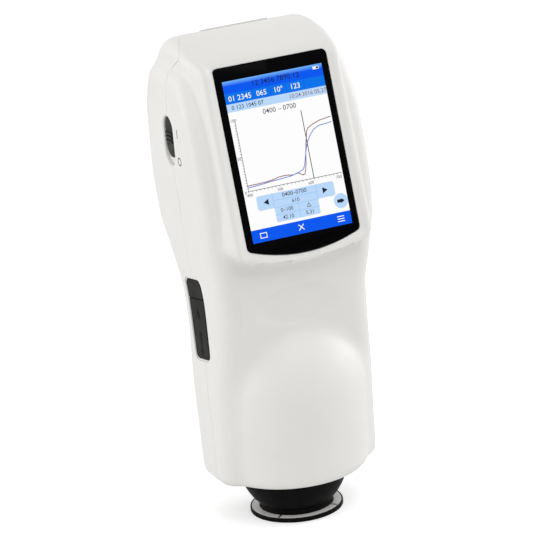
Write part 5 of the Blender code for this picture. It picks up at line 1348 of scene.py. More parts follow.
def circuit_board(name, colour, copper):
    """Solder mask over tracks, with the tracks a little proud and paler."""
    look = Finish(name)
    brick = look.add("ShaderNodeTexBrick", offset=TRACK_OFFSET, squash=TRACK_SQUASH)
    brick.inputs["Scale"].default_value = 1.0 / TRACK_PITCH
    brick.inputs["Mortar Size"].default_value = TRACK_GAP_SHARE
    look.link(look.place, brick.inputs["Vector"])
    vias = look.add("ShaderNodeTexVoronoi")
    vias.inputs["Scale"].default_value = 1.0 / VIA_PITCH
    look.link(look.place, vias.inputs["Vector"])
    hole = look.spread(vias.outputs["Distance"], 1.0, 0.0, *VIA_EDGE)
    tone = look.blend(brick.outputs["Fac"], colour, shade(colour, TRACK_PALENESS))
    tone = look.blend(hole, tone, copper)
    look.relief(brick.outputs["Fac"], GRAIN_DEPTH)
    look.set(Specular_IOR_Level=PLASTIC_SHINE)
    return look.finish(tone, look.spread(look.noise(GLOSS_PATCH, 3.0), *BOARD_ROUGHNESS))


def clear_glass(name, tint):
    """Clear glass with a trace of haze."""
    look = Finish(name)
    haze = look.spread(look.noise(GLOSS_PATCH, 3.0), 0.0, 1.0)
    look.set(Transmission_Weight=1.0, IOR=1.5)
    tone = look.blend(haze, tint, shade(tint, LENS_SHADE))
    return look.finish(tone, look.spread(look.noise(GLOSS_PATCH, 3.0), *LENS_ROUGHNESS))


def shrink_wrap(name, colour):
    """Film shrunk over a battery pack: glossy, with fine creases across it."""
    look = Finish(name)
    look.relief(look.noise(CREASE_PATCH, 3.0, CREASE_STRETCH), SINK_DEPTH)
    drift = look.spread(look.noise(TONE_PATCH, 3.0), 0.0, 1.0)
    tone = look.blend(drift, colour, shade(colour, WRAP_PALENESS))
    return look.finish(tone, look.spread(look.noise(GLOSS_PATCH, 3.0), *WRAP_ROUGHNESS))


def lit_picture(name, strength):
    """A lit display under its glass: each patch glows in its own colour through fine dots."""
    look = Finish(name)
    tint = look.add("ShaderNodeAttribute", attribute_name=TINT_LAYER).outputs["Color"]
    dots = look.add("ShaderNodeTexChecker")
    dots.inputs["Scale"].default_value = 1.0 / DOT_PITCH
    dots.inputs["Color1"].default_value = (*SCREEN_WHITE, 1.0)
    dots.inputs["Color2"].default_value = (*DOT_SHADE, 1.0)
    look.link(look.place, dots.inputs["Vector"])
    glow = look.add("ShaderNodeMix", data_type="RGBA", blend_type="MULTIPLY")
    glow.inputs["Factor"].default_value = 1.0
    look.link(tint, glow.inputs[6])
    look.link(dots.outputs["Color"], glow.inputs[7])
    look.link(glow.outputs[2], look.shader.inputs["Emission Color"])
    look.set(Emission_Strength=strength, Specular_IOR_Level=GLASS_SHINE)
    look.set(Base_Color=(*PICTURE_BASE, 1.0))
    rough = look.spread(look.noise(GLOSS_PATCH, 3.0), *PICTURE_ROUGHNESS)
    look.link(rough, look.shader.inputs["Roughness"])
    return look.material


# Shells
def glass_outline(by=0.0):
    """Outline of the cover glass, bowed at its foot, moved outward by a distance."""
    half = GLASS_WIDTH / 2
    corners = [(half, GLASS_TOP), (-half, GLASS_TOP)]
    radii = [GLASS_CORNER, GLASS_CORNER]
    for step in range(GLASS_BOTTOM_STEPS + 1):
        share = 2 * step / GLASS_BOTTOM_STEPS - 1
        bow = (GLASS_MIDDLE_DROP - GLASS_SIDE_DROP) * share**2
        corners.append((half * share, bow - GLASS_MIDDLE_DROP))
        radii.append(GLASS_CORNER if abs(share) == 1 else 0.0)
    return grown(rounded(corners, radii), by)


def cover_outline():
    return rectangle(COVER_WIDTH, COVER_HEIGHT, COVER_CORNER, COVER_TAPER)


def post_places():
    """Across and up places of the four screw posts."""
    for side in (-1, 1):
        yield side * (trunk_half(UPPER_POST_Z) - UPPER_POST_INSET), UPPER_POST_Z
        yield side * (trunk_half(LOWER_POST_Z) - LOWER_POST_INSET), LOWER_POST_Z


def post_root(x, z):
    """Depth within the rear wall at the outer side of a post, so that the post stays inside."""
    return skin_reach(x + math.copysign(POST_RADIUS, x), z, -WALL / 2)


def side_openings(lip_width, lip_depth):
    """Bodies that open both shells: the nose's hole, the switch's slot, the port and its lip."""
    hole = oval(2 * (BALL_RADIUS + FIT_GAP), 2 * (BALL_RADIUS + FIT_GAP), OVAL_STEPS)
    slot = stadium(SWITCH_WIDTH, SWITCH_HEIGHT)
    mouth = grown(slot, lip_depth)
    port = grown(cover_outline(), FIT_GAP)
    lip = divided(grown(cover_outline(), lip_width))
    return (
        prism(UPRIGHT_PLANE, hole, HOUSING_BOTTOM - OVERRUN, HOUSING_BOTTOM + 2 * WALL),
        loft(SWITCH_PLANE, ((slot, -2 * WALL), (slot, -lip_depth), (mouth, 0.0), (mouth, WALL))),
        prism(COVER_PLANE, port, -2 * WALL, 2 * WALL),
        skin_plate(COVER_PLANE, lip, WALL, -lip_depth),
    )


def front_housing(settings):
    """The front shell with the seat and the window of the screen."""
    window = rectangle(PANEL_WIDTH + 2 * FIT_GAP, PANEL_HEIGHT + 2 * FIT_GAP)
    cuts = (
        prism(SCREEN_PLANE, glass_outline(FIT_GAP), -POCKET_DEPTH, WALL),
        prism(SCREEN_PLANE, window, -SCREEN_INSIDE_DEPTH - WALL, WALL),
        *side_openings(settings.lip_width, settings.lip_depth),
    )
    return worked(shell_mesh(-1, FAN_SHARES, settings.seam_gap), (("DIFFERENCE", cuts),))


def rear_housing(settings):
    """The rear shell with its screw posts and the openings of the key and the cover."""
    posts, bores = [], []
    for x, z in post_places():
        start = float(seam_y(x, z)) + POST_SETBACK
        outside = skin_reach(x, z, WALL)
        posts.append(rod(x, z, POST_RADIUS, start, post_root(x, z)))
        bores.append(rod(x, z, POST_BORE_RADIUS, start - WALL, start + 2 * POST_FLOOR))
        bores.append(rod(x, z, POST_WELL_RADIUS, start + POST_FLOOR, outside))
    key = oval(KEY_WIDTH + 2 * FIT_GAP, KEY_HEIGHT + 2 * FIT_GAP, OVAL_STEPS)
    half, start = DOOR_WIDTH / 2 + FIT_GAP, DOOR_BOTTOM_Z - FIT_GAP
    cuts = (
        *side_openings(settings.lip_width, settings.lip_depth),
        *bores,
        prism(KEY_PLANE, key, -2 * WALL, 2 * WALL),
        wrap_solid(half, start, -WALL, WALL, -2 * WALL, DOOR_CORNER + FIT_GAP),
    )
    shell = shell_mesh(1, REAR_FAN_SHARES, settings.seam_gap)
    return worked(shell, (("UNION", posts), ("DIFFERENCE", cuts)))


# Display
def display_point(across, down, layer):
    """A point on the lit picture, by shares of its width and height from its top left."""
    x = (across - 0.5) * PICTURE_WIDTH
    y = (0.5 - down) * PICTURE_HEIGHT
    depth = GLASS_FRONT_DEPTH - PICTURE_LIFT - layer * PICTURE_LAYER
    return SCREEN_PLANE @ Vector((x, y, -depth))


class Picture:
    """Flat tinted patches in thin layers on the glass."""

    def __init__(self):
        self.bm = bmesh.new()
        self.tints = self.bm.loops.layers.color.new(TINT_LAYER)

    def patch(self, points, tint, layer, foot_tint=None):
        """A patch with its own thickness; a second tint runs in towards its foot."""
        top = [self.bm.verts.new(display_point(*point, layer)) for point in points]
        under = [self.bm.verts.new(display_point(*point, layer - 1)) for point in points]
        lowest = max(point[1] for point in points)
        highest = min(point[1] for point in points)
        faces = [self.bm.faces.new(top), self.bm.faces.new(under[::-1])]
        for index in range(len(points)):
            after = (index + 1) % len(points)
            faces.append(self.bm.faces.new((top[after], top[index], under[index], under[after])))
        places = dict(zip(top + under, list(points) * 2))
        for face in faces:
            for loop in face.loops:
                share = (places[loop.vert][1] - highest) / (lowest - highest)
                end = foot_tint or tint
                mixed = [low + (high - low) * share for low, high in zip(tint, end)]
                loop[self.tints] = (*mixed, 1.0)

    def box(self, left, top, right, bottom, tint, layer, foot_tint=None):
        """A patch with upright and level sides."""
        corners = ((left, bottom), (right, bottom), (right, top), (left, top))
        self.patch(corners, tint, layer, foot_tint)

    def disc(self, across, down, radius, tint, layer):
        """A round patch; the radius is a share of the picture's width."""
        points = []
        for index in range(DISC_STEPS):
            angle = 2 * math.pi * index / DISC_STEPS
            rise = radius * PICTURE_WIDTH / PICTURE_HEIGHT * math.sin(angle)
            points.append((across + radius * math.cos(angle), down - rise))
        self.patch(points, tint, layer)

    def button(self, left, top, right, bottom, corner, tint, layer):
        """A box with rounded corners; the corner is a share of the picture's width."""
        ratio = PICTURE_WIDTH / PICTURE_HEIGHT
        points = []
        for x, y, start in (
            (right - corner, top + corner * ratio, 0.0),
            (left + corner, top + corner * ratio, 0.25),
            (left + corner, bottom - corner * ratio, 0.5),
            (right - corner, bottom - corner * ratio, 0.75),
        ):
            for step in range(CORNER_STEPS + 1):
                angle = 2 * math.pi * (start + 0.25 * step / CORNER_STEPS)
                points.append((x + corner * math.cos(angle), y - corner * ratio * math.sin(angle)))
        self.patch(points, tint, layer)

    def line(self, points, width, tint, layer):
        """A line of even width through points; the width is a share of the picture's width."""
        ratio = PICTURE_WIDTH / PICTURE_HEIGHT
        flat = [Vector((across, down / ratio)) for across, down in points]
        for start, end in zip(flat, flat[1:]):
            way = (end - start).normalized() * width / 2
            side = Vector((-way.y, way.x))
            corners = (start - way + side, end + way + side, end + way - side, start - way - side)
            self.patch([(corner.x, corner.y * ratio) for corner in corners], tint, layer)

    def figures(self, text, across, down, height, tint, layer):
        """Plain figures centred on a point; their height is a share of the picture's height."""
        curve_data = bpy.data.curves.new("figures", "FONT")
        curve_data.body = text
        curve_data.size = height * PICTURE_HEIGHT * FIGURE_SIZE_SHARE
        curve_data.align_x = "CENTER"
        curve_data.align_y = "CENTER"
        curve_data.offset = curve_data.size * FIGURE_WEIGHT_SHARE
        curve_data.resolution_u = 3
        letters = bpy.data.objects.new("figures", curve_data)
        mesh = letters.to_mesh()
        for polygon in mesh.polygons:
            if polygon.area < FIGURE_LEAST_AREA:
                continue
            points = []
            for index in polygon.vertices:
                x, y, _ = mesh.vertices[index].co
                points.append((across + x / PICTURE_WIDTH, down - y / PICTURE_HEIGHT))
            self.patch(points, tint, layer)
        letters.to_mesh_clear()
        bpy.data.objects.remove(letters)
        bpy.data.curves.remove(curve_data)


def draw_screen():
    """A plain measuring page: bars, a chart with two curves, its cells and its buttons."""
    page = Picture()
    draw_bars(page)
    draw_chart(page)
    draw_cells(page)
    draw_bar_icons(page)
    return page.bm


def draw_bars(page):
    """The bars at the head and the foot, their figures and the sign of the charge."""
    for bar in (
        (0.0, 0.0, 1.0, 1.0, SCREEN_WHITE, 1),
        (0.0, 0.0, 1.0, 0.030, SKY, 2, DEEP_BLUE),
        (0.0, 0.030, 1.0, 0.076, DEEP_BLUE, 2),
        (0.0, 0.076, 1.0, 0.140, BAR_BLUE, 2),
        (0.0, 0.140, 1.0, 0.190, PALE_BLUE, 2),
        (0.0, 0.920, 1.0, 1.0, DEEP_BLUE, 2),
    ):
        page.box(*bar)
    page.figures("12 3456 7890 12", 0.52, 0.042, HEAD_FIGURE, INK, 3)
    for across in BAR_PARTING_PLACES:
        page.line(((across, 0.082), (across, 0.134)), HAIR_LINE, DEEP_BLUE, 3)
    for text, across, down, height, tint in (
        ("01 2345", 0.145, 0.110, HEAD_FIGURE, SCREEN_WHITE),
        ("065", 0.362, 0.108, HEAD_FIGURE, SCREEN_WHITE),
        ("10°", 0.530, 0.108, HEAD_FIGURE, SCREEN_WHITE),
        ("123", 0.700, 0.108, HEAD_FIGURE, SCREEN_WHITE),
        ("0 123 1045 07", 0.205, 0.166, BAR_FIGURE, INK),
        ("10:24", 0.680, 0.166, BAR_FIGURE, RED_BROWN),
        ("3016 05.27", 0.875, 0.166, BAR_FIGURE, RED_BROWN),
    ):
        page.figures(text, across, down, height, tint, 3)
    page.box(0.905, 0.012, 0.965, 0.030, SCREEN_WHITE, 3)
    page.box(0.938, 0.015, 0.961, 0.027, INK, 4)
    page.box(0.965, 0.016, 0.975, 0.026, SKY, 3)
    page.figures("0400 – 0700", 0.505, 0.224, TITLE_FIGURE, INK, 3)


def draw_chart(page):
    """Two axes with their ticks and figures, the two curves and the line of the marker."""
    corner = (CHART_LEFT, CHART_FOOT)
    page.line(((CHART_LEFT, CHART_TOP), corner), AXIS_LINE, GREY_INK, 3)
    page.line((corner, (CHART_RIGHT, CHART_FOOT)), AXIS_LINE, GREY_INK, 3)
    for index in range(AXIS_TICKS + 1):
        down = CHART_TOP + (CHART_FOOT - CHART_TOP) * index / AXIS_TICKS
        page.line(((TICK_LEFT, down), (CHART_LEFT, down)), HAIR_LINE, GREY_INK, 3)
        across = CHART_LEFT + (CHART_RIGHT - CHART_LEFT) * index / AXIS_TICKS
        page.line(((across, CHART_FOOT), (across, TICK_FOOT)), HAIR_LINE, GREY_INK, 3)
    for text, across, down in (
        ("100", 0.036, 0.243), ("50", 0.022, 0.478), ("0", 0.022, 0.690),
        ("400", 0.058, 0.707), ("500", 0.363, 0.707), ("600", 0.674, 0.707), ("700", 0.955, 0.707),
    ):
        page.figures(text, across, down, AXIS_FIGURE, INK, 3)
    page.line(RED_CURVE_SHARES, CURVE_LINE, RED_BROWN, 4)
    page.line(BLUE_CURVE_SHARES, CURVE_LINE, LIGHT_BLUE, 5)
    marker = ((MARKER_ACROSS, MARKER_TOP), (MARKER_ACROSS, CHART_FOOT))
    page.line(marker, CURVE_LINE, GREY_INK, 6)


def draw_cells(page):
    """The cells under the chart between their two buttons, and the round button."""
    page.button(0.110, 0.722, 0.300, 0.812, BUTTON_CORNER, PALE_BLUE, 3)
    page.button(0.680, 0.722, 0.890, 0.812, BUTTON_CORNER, PALE_BLUE, 3)
    page.box(0.270, 0.722, 0.710, 0.812, PALE_BLUE, 4)
    page.button(0.270, 0.800, 0.710, 0.902, CELLS_CORNER, PALE_BLUE, 4)
    for points in (
        ((0.270, 0.722), (0.270, 0.812)), ((0.710, 0.722), (0.710, 0.812)),
        ((0.270, 0.767), (0.710, 0.767)), ((0.270, 0.812), (0.710, 0.812)),
        ((0.510, 0.812), (0.510, 0.902)), ((0.270, 0.857), (0.710, 0.857)),
    ):
        page.line(points, HAIR_LINE, CELL_LINE, 5)
    page.patch(((0.225, 0.748), (0.225, 0.786), (0.175, 0.767)), INK, 5)
    page.patch(((0.770, 0.786), (0.770, 0.748), (0.820, 0.767)), INK, 5)
    page.figures("0400–0700", 0.490, 0.744, BAR_FIGURE, INK, 6)
    page.figures("610", 0.490, 0.790, CELL_FIGURE, INK, 6)
    page.figures("0–100", 0.390, 0.834, CELL_FIGURE, INK, 6)
    page.figures("42.10", 0.390, 0.880, CELL_FIGURE, INK, 6)
    triangle = ((0.590, 0.846), (0.610, 0.823), (0.630, 0.846), (0.590, 0.846))
    page.line(triangle, HAIR_LINE, INK, 6)
    page.figures("5.31", 0.610, 0.880, CELL_FIGURE, INK, 6)
    page.disc(0.930, 0.852, 0.070, PALE_BLUE, 3)
    page.box(0.893, 0.842, 0.935, 0.862, INK, 4)
    page.patch(((0.930, 0.868), (0.930, 0.836), (0.968, 0.852)), INK, 4)


def draw_bar_icons(page):
    """Plain signs on the lower bar: a square, a cross and three lines."""
    for left, top, right, bottom in (
        (0.080, 0.944, 0.150, 0.949), (0.080, 0.973, 0.150, 0.978),
        (0.080, 0.949, 0.087, 0.973), (0.143, 0.949, 0.150, 0.973),
        (0.862, 0.943, 0.932, 0.948), (0.862, 0.958, 0.932, 0.963), (0.862, 0.973, 0.932, 0.978),
    ):
        page.box(left, top, right, bottom, SCREEN_WHITE, 3)
    page.line(((0.472, 0.944), (0.518, 0.976)), ICON_LINE, SCREEN_WHITE, 3)
    page.line(((0.472, 0.976), (0.518, 0.944)), ICON_LINE, SCREEN_WHITE, 3)


# Nose and plate
def below(radius, across):
    """Angle below a sphere's equator at which it is a given distance from the axis."""
    return -math.acos(across / radius)


def level_at(radius, rise):
    """Angle above a sphere's equator at which it is a given height over its middle."""
    return math.asin(rise / radius)


def nose_body():
    """The hollow ball, open at the aperture, with a flange inside the housing."""
    foot = PLATE_HEIGHT + FIT_GAP
    hole = APERTURE_RADIUS + SPIGOT_WALL + NOSE_HOLE_GAP
    flange = BALL_RADIUS + NOSE_FLANGE
    middle, collar = HOUSING_BOTTOM + BALL_RISE, PLATE_HEIGHT + CLIP_HEIGHT + FIT_GAP
    top = NOSE_TOP_Z - NOSE_CENTRE_Z
    inside = NOSE_RADIUS - NOSE_WALL
    start, end = (level_at(BALL_RADIUS, height - middle) for height in (collar, NOSE_FLANGE_Z))
    outer = arc(BALL_RADIUS, middle, start, end, BALL_STEPS)
    start, end = level_at(inside, top), below(inside, hole)
    inner = arc(inside, NOSE_CENTRE_Z, start, end, NOSE_INSIDE_STEPS)
    neck, eased = NOSE_NECK_RADIUS, EDGE_EASE * EASE_SHARE
    profile = [(hole, foot), (neck - EDGE_EASE, foot), (neck - eased, foot + eased)]
    profile += [(neck, foot + EDGE_EASE), (neck, collar)] + outer
    profile += [(flange, NOSE_FLANGE_Z), (flange, NOSE_TOP_Z)] + inner
    return turned(profile)


def plate_body():
    """The black plate with its rim and the collar that the nose stands in."""
    clip = NOSE_NECK_RADIUS + FIT_GAP
    rim = PLATE_RADIUS - FACE_MARGIN
    shelf = PLATE_HEIGHT - FACE_THICKNESS - FIT_GAP
    ease = EDGE_EASE
    return turned((
        (APERTURE_RADIUS, 0.0),
        (PLATE_RADIUS - ease, 0.0),
        (PLATE_RADIUS - ease * EASE_SHARE, ease * EASE_SHARE),
        (PLATE_RADIUS, ease),
        (PLATE_RADIUS, PLATE_HEIGHT - ease),
        (PLATE_RADIUS - ease * EASE_SHARE, PLATE_HEIGHT - ease * EASE_SHARE),
        (PLATE_RADIUS - ease, PLATE_HEIGHT),
        (rim, PLATE_HEIGHT),
        (rim, shelf),
        (clip + CLIP_WALL, shelf),
        (clip + CLIP_WALL, PLATE_HEIGHT + CLIP_HEIGHT - ease / 2),
        (clip + CLIP_WALL - ease / 2, PLATE_HEIGHT + CLIP_HEIGHT),
        (clip, PLATE_HEIGHT + CLIP_HEIGHT),
        (clip, PLATE_HEIGHT),
        (APERTURE_RADIUS, PLATE_HEIGHT),
    ))


def face_body():
    """The pale ring let into the plate."""
    near = NOSE_NECK_RADIUS + FIT_GAP + CLIP_WALL + FIT_GAP
    far = PLATE_RADIUS - FACE_MARGIN - FACE_GAP
    low, ease = PLATE_HEIGHT - FACE_THICKNESS, FACE_GAP
    return turned((
        (near, low),
        (far, low),
        (far, PLATE_HEIGHT - ease),
        (far - ease, PLATE_HEIGHT),
        (near + ease, PLATE_HEIGHT),
        (near, PLATE_HEIGHT - ease),
    ))


# Power switch
def bezel_body():
    """The switch's fixed bezel, with a slit for the stem of the slider."""
    slit_height = SLIDER_STEM_HEIGHT + SLIDER_TRAVEL + 2 * FIT_GAP
    slit = rectangle(SLIDER_SLIT_WIDTH, slit_height)
    seat = WALL + FIT_GAP
    back = seat + SWITCH_PLATE_THICKNESS
    opening = stadium(SWITCH_WIDTH, SWITCH_HEIGHT)
    plate = loft(SWITCH_PLANE, (
        (grown(opening, -BEZEL_GAP), -SWITCH_RECESS),
        (grown(opening, -BEZEL_GAP), -seat),
        (grown(opening, SWITCH_FLANGE), -seat),
        (grown(opening, SWITCH_FLANGE), -back),
    ))
    return worked(plate, (("DIFFERENCE", (prism(SWITCH_PLANE, slit, -2 * back, WALL),)),))


def slider_body():
    """The slider with its ribs, on a stem through the bezel."""
    depth = WALL + FIT_GAP + SWITCH_PLATE_THICKNESS + SLIDER_STEM_REACH
    cap = stadium(SWITCH_WIDTH - 2 * FIT_GAP, SWITCH_HEIGHT - SLIDER_TRAVEL - 2 * FIT_GAP)
    cap = shifted(cap, 0.0, SLIDER_TRAVEL / 2)
    face = -SLIDER_RIB_HEIGHT
    body = loft(SWITCH_PLANE, (
        (cap, FIT_GAP - SWITCH_RECESS),
        (cap, face - CAP_EASE),
        (grown(cap, -CAP_EASE * EASE_SHARE), face - CAP_EASE * EASE_SHARE),
        (grown(cap, -CAP_EASE), face),
    ))
    rib = rectangle(SWITCH_WIDTH * SLIDER_RIB_WIDTH_SHARE, SLIDER_RIB_PITCH / 2)
    stem = rectangle(SLIDER_SLIT_WIDTH - 2 * FIT_GAP, SLIDER_STEM_HEIGHT)
    stem = shifted(stem, 0.0, SLIDER_TRAVEL / 2)
    parts = [prism(SWITCH_PLANE, stem, -depth, face - CAP_EASE)]
    for index in range(SLIDER_RIB_COUNT):
        along = (index - (SLIDER_RIB_COUNT - 1) / 2) * SLIDER_RIB_PITCH + SLIDER_TRAVEL / 2
        parts.append(prism(SWITCH_PLANE, shifted(rib, 0.0, along), face - CAP_EASE, 0.0))
    return worked(body, (("UNION", parts),))


# Port cover
def cover_outlines():
    """Outlines of the fixed tab and of the flap, either side of the line where it bends."""
    half_height = COVER_HEIGHT / 2
    split = half_height - COVER_HINGE_SHARE * COVER_HEIGHT
    low, high = (COVER_WIDTH - COVER_TAPER) / 2, (COVER_WIDTH + COVER_TAPER) / 2
    middle = low + (high - low) * (split + half_height) / COVER_HEIGHT
    edge = split + FIT_GAP / 2
    tab = rounded(((-middle, edge), (middle, edge), (high, half_height), (-high, half_height)),
                  (0.0, 0.0, COVER_CORNER, COVER_CORNER))
    edge = split - FIT_GAP / 2
    flap = rounded(((-low, -half_height), (low, -half_height), (middle, edge), (-middle, edge)),
                   (COVER_CORNER, COVER_CORNER, 0.0, 0.0))
    return divided(tab), divided(flap)


def cover_body(outline):
    """A rubber plate on the skin with a rounded edge."""
    sections = [(spread(outline, share), 0.0) for share in COVER_RING_SHARES]
    sections += [
        (grown(outline, -COVER_EASE), 0.0),
        (grown(outline, -COVER_EASE * EASE_SHARE), -COVER_EASE * EASE_SHARE),
        (outline, -COVER_EASE),
        (outline, -COVER_THICKNESS),
    ]
    sections += [(spread(outline, share), -COVER_THICKNESS) for share in COVER_RING_SHARES[::-1]]
    return skin_solid(COVER_PLANE, sections)


def sign_outlines():
    """Plain signs on the flap: a plug with its lead, and two arrowheads on a line."""
    jack = JACK_HEIGHT_SHARE * COVER_HEIGHT
    data = DATA_HEIGHT_SHARE * COVER_HEIGHT
    half, stroke = SIGN_SIZE / 2, SIGN_STROKE
    yield divided(shifted(rectangle(SIGN_SIZE, half, stroke), 0.0, jack), stroke)
    yield divided(shifted(rectangle(stroke, half), 0.0, jack + half), stroke)
    yield divided(shifted(rectangle(stroke, 2 * SIGN_SIZE), 0.0, data), stroke)
    tip = SIGN_SIZE + half
    for way in (-1, 1):
        arrow = np.array(((-half, SIGN_SIZE), (half, SIGN_SIZE), (0.0, tip)))
        yield divided(shifted(arrow * way, 0.0, data), stroke)


# Measuring key
def key_body():
    """The slightly domed key on a flange inside the housing."""
    outline = oval(KEY_WIDTH, KEY_HEIGHT, OVAL_STEPS)
    flange = grown(outline, KEY_FLANGE)
    seat = -WALL - FIT_GAP
    sections = []
    for share in KEY_RING_SHARES:
        sections.append((spread(outline, share), KEY_PROUD - KEY_DOME * share**2))
    rim = KEY_PROUD - KEY_DOME
    sections += [
        (grown(outline, -KEY_DOME), rim),
        (grown(outline, -KEY_DOME * EASE_SHARE), rim - KEY_DOME * EASE_SHARE),
        (outline, rim - KEY_DOME),
        (outline, seat),
        (flange, seat),
        (flange, seat - KEY_FLANGE_THICKNESS),
        (spread(flange, 0), seat - KEY_FLANGE_THICKNESS),
    ]
    return skin_solid(KEY_PLANE, sections)


# Finishes of the pieces inside
def slot_of(name):
    """The material slot of a solid, by the start of its name."""
    for start, slot in SLOTS.items():
        if name.startswith(start):
            return slot
    raise RuntimeError("no finish is set for " + name)


# Stage
def make_floor(settings):
    """A pale floor that looks a little lighter where the camera sees it."""
    mesh = bpy.data.meshes.new("Floor")
    half = FLOOR_SIZE / 2
    places = [(-half, -half, 0), (half, -half, 0), (half, half, 0), (-half, half, 0)]
    mesh.from_pydata(places, [], [(0, 1, 2, 3)])
    floor = bpy.data.objects.new("Floor", mesh)
    bpy.context.scene.collection.objects.link(floor)
    look = Finish("Floor")
    tone = look.blend(
        look.spread(look.noise(FLOOR_PATCH, 2.0), 0.0, 1.0),
        tuple(settings.floor_colour),
        shade(tuple(settings.floor_colour), FLOOR_SHADE),
    )
    seen = look.add("ShaderNodeLightPath").outputs["Is Camera Ray"]
    lift = look.spread(seen, 0.0, settings.floor_lift, 0.0, 1.0)
    look.link(lift, look.shader.inputs["Emission Strength"])
    look.set(Emission_Color=(1.0, 1.0, 1.0, 1.0), Specular_IOR_Level=FLOOR_SHINE)
    rough = look.spread(look.noise(FLOOR_PATCH, 2.0), *FLOOR_ROUGHNESS)
    mesh.materials.append(look.finish(tone, rough))
    floor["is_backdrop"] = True


def make_room(scene, settings):
    """Even light, and a white surround where the camera, gloss or glass sees past the floor."""
    world = bpy.data.worlds.new("Room")
    world.use_nodes = True
    scene.world = world
    tree = world.node_tree
    back = tree.nodes["Background"]
    back.inputs["Color"].default_value = (1.0, 1.0, 1.0, 1.0)
    path = tree.nodes.new("ShaderNodeLightPath")
    seen = path.outputs["Is Camera Ray"]
    for name in ("Is Glossy Ray", "Is Transmission Ray"):
        either = tree.nodes.new("ShaderNodeMath")
        either.operation = "MAXIMUM"
        tree.links.new(seen, either.inputs[0])
        tree.links.new(path.outputs[name], either.inputs[1])
        seen = either.outputs[0]
    level = tree.nodes.new("ShaderNodeMapRange")
    level.inputs["To Min"].default_value = settings.room
    level.inputs["To Max"].default_value = 1.0
    tree.links.new(seen, level.inputs["Value"])
    tree.links.new(level.outputs["Result"], back.inputs["Strength"])


def make_lamp(name, place, power, size):
    """A square lamp that faces the middle of the model."""
    lamp = bpy.data.lights.new(name, "AREA")
    lamp.energy = power
    lamp.shape = "SQUARE"
    lamp.size = size
    item = bpy.data.objects.new(name, lamp)
    item.location = place
    aim = Vector((0.0, 0.0, LAMP_AIM_HEIGHT)) - item.location
    item.rotation_euler = aim.to_track_quat("-Z", "Y").to_euler()
    bpy.context.scene.collection.objects.link(item)


def make_camera(scene):
    """A long lens at the photograph's viewing angle."""
    lens = bpy.data.cameras.new("Camera")
    lens.lens = CAMERA_LENS
    lens.sensor_width = CAMERA_SENSOR
    camera = bpy.data.objects.new("Camera", lens)
    camera.location = Vector(CAMERA_PLACE) + AXIS_PLACE
    camera.rotation_euler = CAMERA_TURN
    scene.collection.objects.link(camera)
    scene.camera = camera


# Settings that a user would change
def colour_of(name, description, default):
    """A colour."""
    return FloatVectorProperty(
        name=name, description=description, default=default, subtype="COLOR", min=0.0, max=1.0
    )


def length_of(name, description, default):
    """A length, in metres."""
    return FloatProperty(
        name=name, description=description, default=default, min=0.0, unit="LENGTH"
    )


def share_of(name, description, default, low, high):
    """A share or strength between two bounds."""
    return FloatProperty(
        name=name, description=description, default=default, min=low, max=high, subtype="FACTOR"
    )


def power_of(name, description, default):
    """A lamp's power, in watts."""
    return FloatProperty(
        name=name, description=description, default=default, min=0.0, unit="POWER"
    )


class HousingSettings(PropertyGroup):
    seam_gap: length_of("Seam gap", "Gap between the front and the rear shell", 0.00017)
    lip_width: length_of("Lip width", "Width of the sunk lip round the port cover", 0.0011)
    lip_depth: length_of("Lip depth", "Depth of the sunk lip round the port cover", 0.00045)
    colour: colour_of("Shell colour", "Colour of the white moulded shells", (0.846, 0.838, 0.812))
    roughness: share_of("Shell roughness", "How matt the shells are", 0.44, 0.05, 0.95)


class ScreenSettings(PropertyGroup):
    glass_colour: colour_of(
        "Glass colour", "Colour of the mask behind the cover glass", (0.0012, 0.0012, 0.0016)
    )
    edge: length_of("Glass edge", "Round on the edge of the cover glass", 0.0002)
    brightness: share_of("Brightness", "Brightness of the lit picture", 1.0, 0.0, 3.0)


class NoseSettings(PropertyGroup):
    colour: colour_of(
        "Nose colour", "Colour of the black nose and of the plate's rim", (0.004, 0.004, 0.004)
    )
    face_colour: colour_of("Face colour", "Colour of the plate's face", (0.91, 0.885, 0.865))
    line_width: length_of("Line width", "Width of the four locating lines on the plate", 0.0009)
    line_turn: FloatProperty(
        name="Line turn",
        description="Turn of the locating lines about the measuring axis",
        default=math.radians(42),
        subtype="ANGLE",
        unit="ROTATION",
    )


class SwitchSettings(PropertyGroup):
    colour: colour_of(
        "Slider colour", "Colour of the slider of the power switch", (0.018, 0.018, 0.0175)
    )
    mark_colour: colour_of("Mark colour", "Colour of the on and off marks", (0.09, 0.09, 0.085))
    mark_size: length_of("Mark size", "Height of the on and off marks", 0.0038)


class PortSettings(PropertyGroup):
    colour: colour_of("Rubber colour", "Colour of the rubber port cover", (0.0175, 0.0175, 0.0165))
    sign_depth: length_of("Sign height", "How far the plain signs stand out of the cover", 0.00018)


class RearSettings(PropertyGroup):
    key_colour: colour_of("Key colour", "Colour of the measuring key", (0.055, 0.055, 0.053))
    edge: length_of("Cover edge", "Round on the edges of the battery cover", 0.0004)


class StageSettings(PropertyGroup):
    floor_colour: colour_of("Floor colour", "Colour of the floor", (0.92, 0.92, 0.92))
    floor_lift: share_of(
        "Floor lift", "Light that the floor adds where the camera sees it", 0.42, 0.0, 1.0
    )
    room: share_of("Room light", "Even light from all around", 0.53, 0.0, 2.0)
    key: power_of("Key lamp", "Power of the large lamp on the left", 6.2)
    fill: power_of("Fill lamp", "Power of the lamp on the right", 5.9)
    top: power_of("Top lamp", "Power of the lamp above the front", 6.4)


